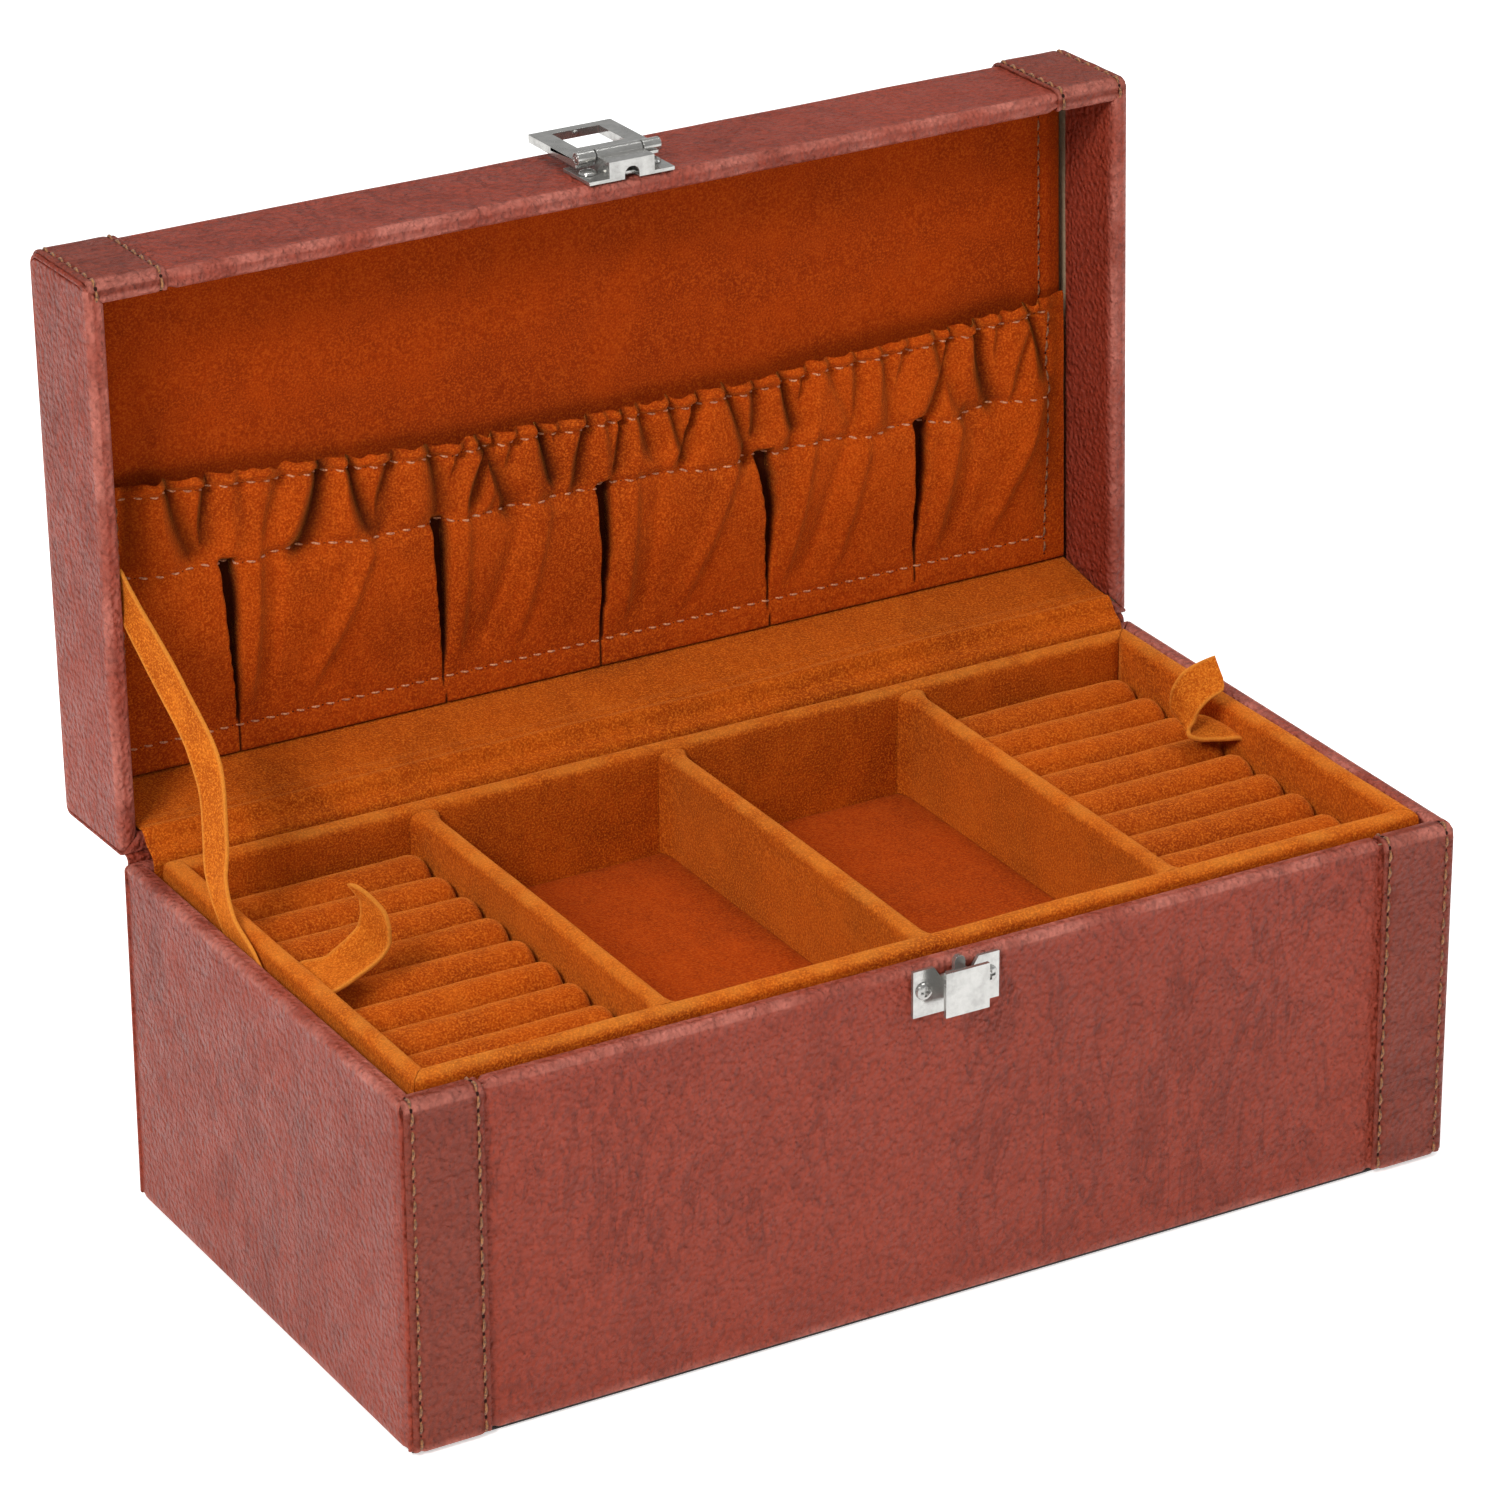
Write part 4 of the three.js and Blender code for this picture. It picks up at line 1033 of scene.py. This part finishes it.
class Pocket:
    """The gathered pocket's surface. x runs across the lid, u up from the lid's hinge wall."""

    def __init__(self):
        self.lo, self.hi = lid_box("lid_pocket")
        self.wall = self.lo.y - 5
        self.panel = lid_box("lid_panel")[0].z
        self.bottom = self.lo.y - self.wall + 0.6
        self.pleats = (-108.0, -47.6, 1.0, 49.0, 96.5)
        self.seam = 13.0
        self.depth = self.panel - self.lo.z
        self.near = {}
        for tuck in self.tucks():
            first, last = int((tuck[0] - 16) // 4), int((tuck[0] + 16) // 4)
            for cell in range(first, last + 1):
                self.near.setdefault(cell, []).append(tuck)

    def tucks(self):
        """The gathers' valleys, (x at the hem, lean, foot, width, depth), some of them meeting in a V."""
        rng = random.Random(41)
        x, lean = self.lo.x + 9, 0.2
        while x < self.hi.x - 9:
            foot = self.second_line(x) + rng.uniform(-3.5, 4.0)
            lean = -math.copysign(rng.uniform(0.04, 0.42), lean) if rng.random() < 0.72 else lean
            yield x, lean, foot, rng.uniform(1.4, 2.4) * (1.45 if x < -45 else 1.0), rng.uniform(0.4, 0.95)
            x += rng.uniform(7.5, 13.0) if x < -45 else rng.uniform(3.8, 9.2)

    def mouth(self, x):
        """The hem's height there, second_line that of the stitches under the gathers."""
        sag = 77.2 + 7.0 * smooth(-20, -140, x) + 4.0 * smooth(30, 138, x)
        return sag + 0.8 * wander(x, scale=22, seed=1)

    def second_line(self, x):
        sag = 56.5 + 3.5 * smooth(-30, -140, x) - 2.5 * smooth(20, 130, x)
        return sag + 2.2 * wander(x, scale=18, seed=6)

    def tucked(self, x, u):
        """How deep in a gather's valley the cloth lies there, 0 to 1."""
        deepest = 0.0
        top = self.mouth(x)
        for hem_x, lean, foot, width, depth in self.near.get(int(x // 4), ()):
            run = smooth(foot - 3.0, foot + 4.0, u)
            if run <= 0:
                continue
            bow = 1.2 * math.sin(hem_x * 2.1) * math.sin(math.pi * clamp((top - u) / 24))
            centre = hem_x + lean * (top - u) + bow
            spread = width * (0.75 + 0.75 * smooth(top, foot + 4, u))
            gap = (x - centre) / spread
            side = abs(gap) * (0.62 if gap > 0 else 1.0)
            deepest = max(deepest, depth * run * math.exp(-(side ** 1.7)))
        return deepest * smooth(0, 9, self.hi.x - abs(x))

    def valley(self, x, u):
        """1 inside the opening of a pleat, 0 on the cloth beside it."""
        line, deepest = self.second_line(x), 0.0
        if u > line + 2.5:
            return 0.0
        for k, pleat in enumerate(self.pleats):
            grown = smooth(self.seam - 6, line, u)
            opening = 0.6 + 4.3 * grown
            lean = (0.05, 0.02, -0.03, 0.03, -0.02)[k]
            centre = pleat + lean * (line - u) + 0.9 * wander(u, k * 9.0, scale=16, seed=2) * grown
            t = (x - centre) / opening
            inside = smooth(-0.62, -0.36, t) * (1 - smooth(0.34, 0.46, t))
            deepest = max(deepest, inside)
        return deepest * (1 - smooth(line - 0.5, line + 2.5, u))

    def drag(self, x, u):
        """Long soft folds that fan out from the foot of each pleat to the gathers."""
        line = self.second_line(x)
        fade = smooth(self.seam, self.seam + 14, u) * (1 - 0.6 * smooth(line, line + 8, u))
        if fade <= 0:
            return 0.0
        total = 0.0
        for k, pleat in enumerate(self.pleats):
            for n, (shift, size) in enumerate(((5, 1.7), (12, -1.2), (25, 1.5))):
                slope = 0.1 + 0.13 * n + 0.3 * wander(k * 3.1, n * 2.3, scale=1.7, seed=5)
                gap = x - (pleat + shift * 0.8 + slope * (u - self.seam))
                total += size * bump(gap, 0, 3.4 if gap < 0 else 1.9)
        return total * fade

    def height(self, x, u):
        """How far the front of the cloth stands off the panel."""
        top, line = self.mouth(x), self.second_line(x)
        body = 2.0 + 4.6 * smooth(self.seam - 1, self.seam + 32, u) - 0.4 * smooth(line + 4, top, u)
        folds = 1.3 * smooth(line - 2, line + 6, u) - 5.2 * self.tucked(x, u)
        soft = 1.1 * wander(x, u * 0.4, scale=15, seed=15) * smooth(self.seam, self.seam + 14, u)
        pinch = 1.1 * (bump(u, line, 1.2) + bump(u, top - 3.0, 0.9)) + 0.5 * bump(u, self.seam, 1.2)
        pinch -= 1.0 * bump(u, top - 0.9, 1.2)
        level = body + folds + soft + self.drag(x, u) - pinch
        level += (1.5 - level) * self.valley(x, u)
        sides = smooth(0, 14, self.hi.x - abs(x))
        sewn = 1.7 + 0.2 * wander(x, u, scale=12)
        return clamp(sewn + (level - sewn) * sides, 1.5, self.depth + 0.8)

    def shade(self, x, u):
        """Painted shade, 0 to 1: deep in the folds and pleat openings, and a little where the cloth falls
        away from the light.
        """
        fall = self.height(x - 0.6, u) - self.height(x + 0.6, u)
        deep = 0.85 * self.tucked(x, u) ** 1.8 + 0.3 * clamp(fall * 0.7)
        return clamp(max(self.valley(x, u), deep))

    def point(self, x, u, inset=0.0):
        """A point of the cloth, with the ruffle of its hem."""
        top = self.mouth(x)
        frill = smooth(top - 5, top, u) * smooth(0, 12, self.hi.x - abs(x))
        hem = frill * (1.5 * wander(x, scale=3.4, seed=30) - 1.2 * self.tucked(x, top - 5) + 0.4)
        h = max(1.5, self.height(x, u) + 0.7 * frill * wander(x, scale=2.3, seed=31))
        return lid_point(x, self.wall + u + hem, self.panel - h + inset)


def pocket_cloth():
    pocket = Pocket()
    columns, rows = 470, 84
    xs = [pocket.lo.x + (pocket.hi.x - pocket.lo.x) * i / columns for i in range(columns + 1)]

    def grid(inset, trim=0.004):
        made = []
        for j in range(rows + 1):
            v = trim + (1 - 2 * trim) * j / rows
            heights = [pocket.bottom + (pocket.mouth(x) - pocket.bottom) * v for x in xs]
            made.append([pocket.point(x, u, inset) for x, u in zip(xs, heights)])
        return made

    front, rear = grid(0), grid(POCKET_CLOTH)
    rim_low = [pocket.point(x, pocket.bottom, POCKET_CLOTH / 2) for x in xs]
    rim_high = [pocket.point(x, pocket.mouth(x) + 0.5, POCKET_CLOTH / 2) for x in xs]
    rings = []
    for i in range(columns + 1):
        ring = [row[i] for row in front] + [rim_high[i]]
        ring += [row[i] for row in reversed(rear)] + [rim_low[i]]
        rings.append(ring)
    obj = loft("lid_pocket_cloth", rings, material("velvet_pocket"), sharp=75)
    # Painted shade, read by the pocket's velvet: dark in the folds and pleat openings, and where the cloth
    # falls away from the light.
    shades = []
    for x in xs:
        tall = pocket.mouth(x) - pocket.bottom
        column = [pocket.shade(x, pocket.bottom + tall * j / rows) for j in range(rows + 1)]
        shades += [*column, column[-1], *reversed(column), column[0]]
    paint(obj, "fold", shades)
    settle(obj, "lid", "lid_pocket")
    some_rows, some_columns = front[:: rows // 6], range(0, columns + 1, 10)
    across = sum(path_length(row) for row in some_rows) / len(some_rows)
    upward = sum(path_length([row[i] for row in front]) for i in some_columns) / len(some_columns)
    pocket_stitches(pocket, xs)
    pocket_elastic(pocket)


def pocket_stitches(pocket, xs):
    lift = DEEP * 0.05  # stitches stand this far off the cloth
    spots = [x for x in xs if abs(x) < pocket.hi.x - 4]

    def row(level):
        points = [pocket.point(x, level(x)) - lift for x in spots]
        ups = []
        for x in spots:
            a = pocket.point(x + 0.8, level(x)) - pocket.point(x - 0.8, level(x))
            b = pocket.point(x, level(x) + 0.8) - pocket.point(x, level(x) - 0.8)
            normal = a.cross(b).normalized()
            ups.append(-normal if normal.dot(DEEP) > 0 else normal)
        return points, ups

    lines = [row(lambda x: pocket.seam), row(pocket.second_line), row(lambda x: pocket.mouth(x) - 3.0)]
    sides = []
    for x in (-pocket.hi.x + 6.4, pocket.hi.x - 6.4):
        heights = [pocket.bottom + 1.5 + k for k in range(int(pocket.mouth(x) - pocket.bottom) - 2)]
        sides.append(([pocket.point(x, u) - lift for u in heights], [-DEEP] * len(heights)))
    sewn = stitch_row("lid_pocket_side_stitches", sides, material("thread"), LINING_PITCH, radius=0.28)
    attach(sewn, "lid")
    sewn = stitch_row("lid_pocket_stitches", lines, material("thread_light"), 4.3, 0.62, 0.27, 0.22)
    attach(sewn, "lid")


def pocket_elastic(pocket):
    """The elastic that gathers the mouth, sewn behind the cloth."""
    lo, hi = lid_box("pocket_elastic")
    rings = []
    count = 300
    for i in range(count + 1):
        x = lo.x + (hi.x - lo.x) * i / count
        u = pocket.mouth(x) - 9
        ring = []
        for up, back in ((0, 0), (2.5, 0), (5, 0), (5, 0.5), (2.5, 0.5), (0, 0.5)):
            ring.append(pocket.point(x, u + up, 1.12 + back * 0.5))
        rings.append(ring)
    obj = loft("pocket_elastic_band", rings, material("elastic"), sharp=60)
    settle(obj, "lid", "pocket_elastic")


# ---- Strips across the hinge ----
def hinged(obj, node):
    """Hides the CAD node that a strip stands for and bakes the strip's transform into its mesh."""
    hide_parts(node)
    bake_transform(obj)


def hinge_strip():
    """Velvet from the base's liner over the hinge, in ridges, to the lid's pocket."""
    lo, hi = mm_box("hinge_strip")
    start_y = lo.y + 0.6
    lid_end_deep = lid_box("hinge_strip")[1].z + 0.2
    in_lid = [lid_point(0, 7.1, 0.3), lid_point(0, 7.2, 6.5), lid_point(0, 11.0, lid_end_deep)]
    corners = [(start_y, lo.z), (start_y, 95.8), *((spot.y, spot.z) for spot in in_lid)]
    path = rounded_path(corners, (2.5, 2.0, 3.0), 0.8)
    total = path_length(path)

    def relief(s, d, p, q):
        on_bridge = smooth(20, 23, d) * (1 - smooth(31, 35, d))
        ridges = 0.6 * math.cos(math.tau * (d - 22) / 7.0 + 0.8 * wander(s, scale=60)) * on_bridge
        loose = smooth(20, 26, d) * (1 - smooth(total - 6, total, d))
        return ridges + 0.4 * wander(s, d * 2, scale=34, seed=4) * loose

    obj = sweep("hinge_strip_velvet", path, as_xyz, material("velvet"), lambda p, q: (lo.x, hi.x),
                thickness=STRIP, columns=120, relief=relief)
    hinged(obj, "hinge_strip")


def spine():
    """The leather strip outside, over the hinge line."""
    lo, hi = mm_box("spine_leather")
    out_y = lo.y + 0.8
    corners = [(out_y, lo.z), (out_y, HINGE.z + 0.25), (hi.y, HINGE.z - 0.1)]
    path = rounded_path(corners, (1.2,), 1.0)
    end = mm_box("base_leather_back")[1].x - 1.5
    obj = sweep("spine_leather_hide", path, as_xyz, material("leather"), lambda p, q: (-end, end),
                thickness=STRIP, side=-1, columns=90, relief=lambda s, d, p, q: 0.1 * wander(s, d, scale=14))
    hinged(obj, "spine_leather")
    path_length(path) * MM


STAY_SPOTS = (
    (-144.3, 84, 168.5), (-143.5, 77, 161), (-142.2, 68.3, 153.3), (-141, 58.8, 145.3),
    (-140.3, 47.5, 136.5), (-140.3, 41.3, 127.5), (-141.8, 37, 115), (-143.6, 33, 105.5),
    (-144.2, 25, 96.5), (-144.3, 14, 91.5), (-144.3, 5, 84),
)
STAY_WIDTH = 9.4


def stay_ribbon():
    """The velvet stay, from the lid's left wall down into the base beside the tray."""
    line = curve_through([Vector(p) for p in STAY_SPOTS], 7)

    def across(t):
        i = min(int(t * (len(line) - 1)), len(line) - 2)
        along = line[i + 1] - line[i]
        return Vector((0.75 * math.sin(math.pi * clamp(t / 0.78)), along.z, -along.y))

    obj, length = ribbon("stay_ribbon_velvet", line, [STAY_WIDTH] * len(line), 0.8, across)
    hinged(obj, "stay_ribbon")


# ---- CAD nodes that stay ----
def dress(node, finish, width=0.0, segments=2):
    """Gives a CAD node its finish and, where it shows, small rounded edges."""
    obj = frame["nodes"][node]
    mesh = obj.data
    mesh.materials.clear()
    mesh.materials.append(material(finish))
    if "custom_normal" in mesh.attributes:
        mesh.attributes.remove(mesh.attributes["custom_normal"])
    if width:
        weld = obj.modifiers.new("weld", "WELD")
        weld.merge_threshold = 0.00001
        bevel = obj.modifiers.new("bevel", "BEVEL")
        bevel.width = width * MM
        bevel.segments = segments
        bevel.limit_method = "ANGLE"
        bevel.angle_limit = math.radians(32)
        bevel.harden_normals = True
        mesh.shade_smooth()


def carried_over():
    dress("base_felt", "felt", 0.4)
    for node in ("base_carcass", "base_bottom_board", "lid_carcass", "lid_top_board"):
        dress(node, "board", 0.2)
    dress("base_liner", "velvet_panel", 0.5, 3)
    for node in ("keeper_plate", "clasp_bracket"):
        dress(node, "chrome", 0.22, 3)
    dress("clasp_loop", "chrome", 0.4, 3)
    dress("clasp_pin", "chrome", 0.15)
    for node in ("keeper_screw_left", "keeper_screw_right", "clasp_screw_left", "clasp_screw_right"):
        dress(node, "chrome", 0.08)


# ---- Build ----
def build_case():
    base_long_wall("base_leather_front", True)
    base_long_wall("base_leather_back", False)
    base_end_wall("base_leather_left", True)
    base_end_wall("base_leather_right", False)
    base_bands()
    cover_lo, cover_hi = lid_box("lid_leather_cover")
    lid_cover(cover_lo, cover_hi)
    lid_end("lid_leather_left", True, cover_lo, cover_hi)
    lid_end("lid_leather_right", False, cover_lo, cover_hi)
    lid_bands(cover_lo, cover_hi)


def build_tray():
    tray_floor()
    tray_walls()
    tray_dividers()
    for side_name in ("left", "right"):
        for index in range(1, 10):
            ring_roll(f"ring_roll_{side_name}_{index}", index)
        pull_tab(side_name)


look_from_photo()
studio()
carried_over()
build_case()
build_tray()
lid_panel()
pocket_cloth()
hinge_strip()
spine()
stay_ribbon()

bpy.context.view_layer.update()
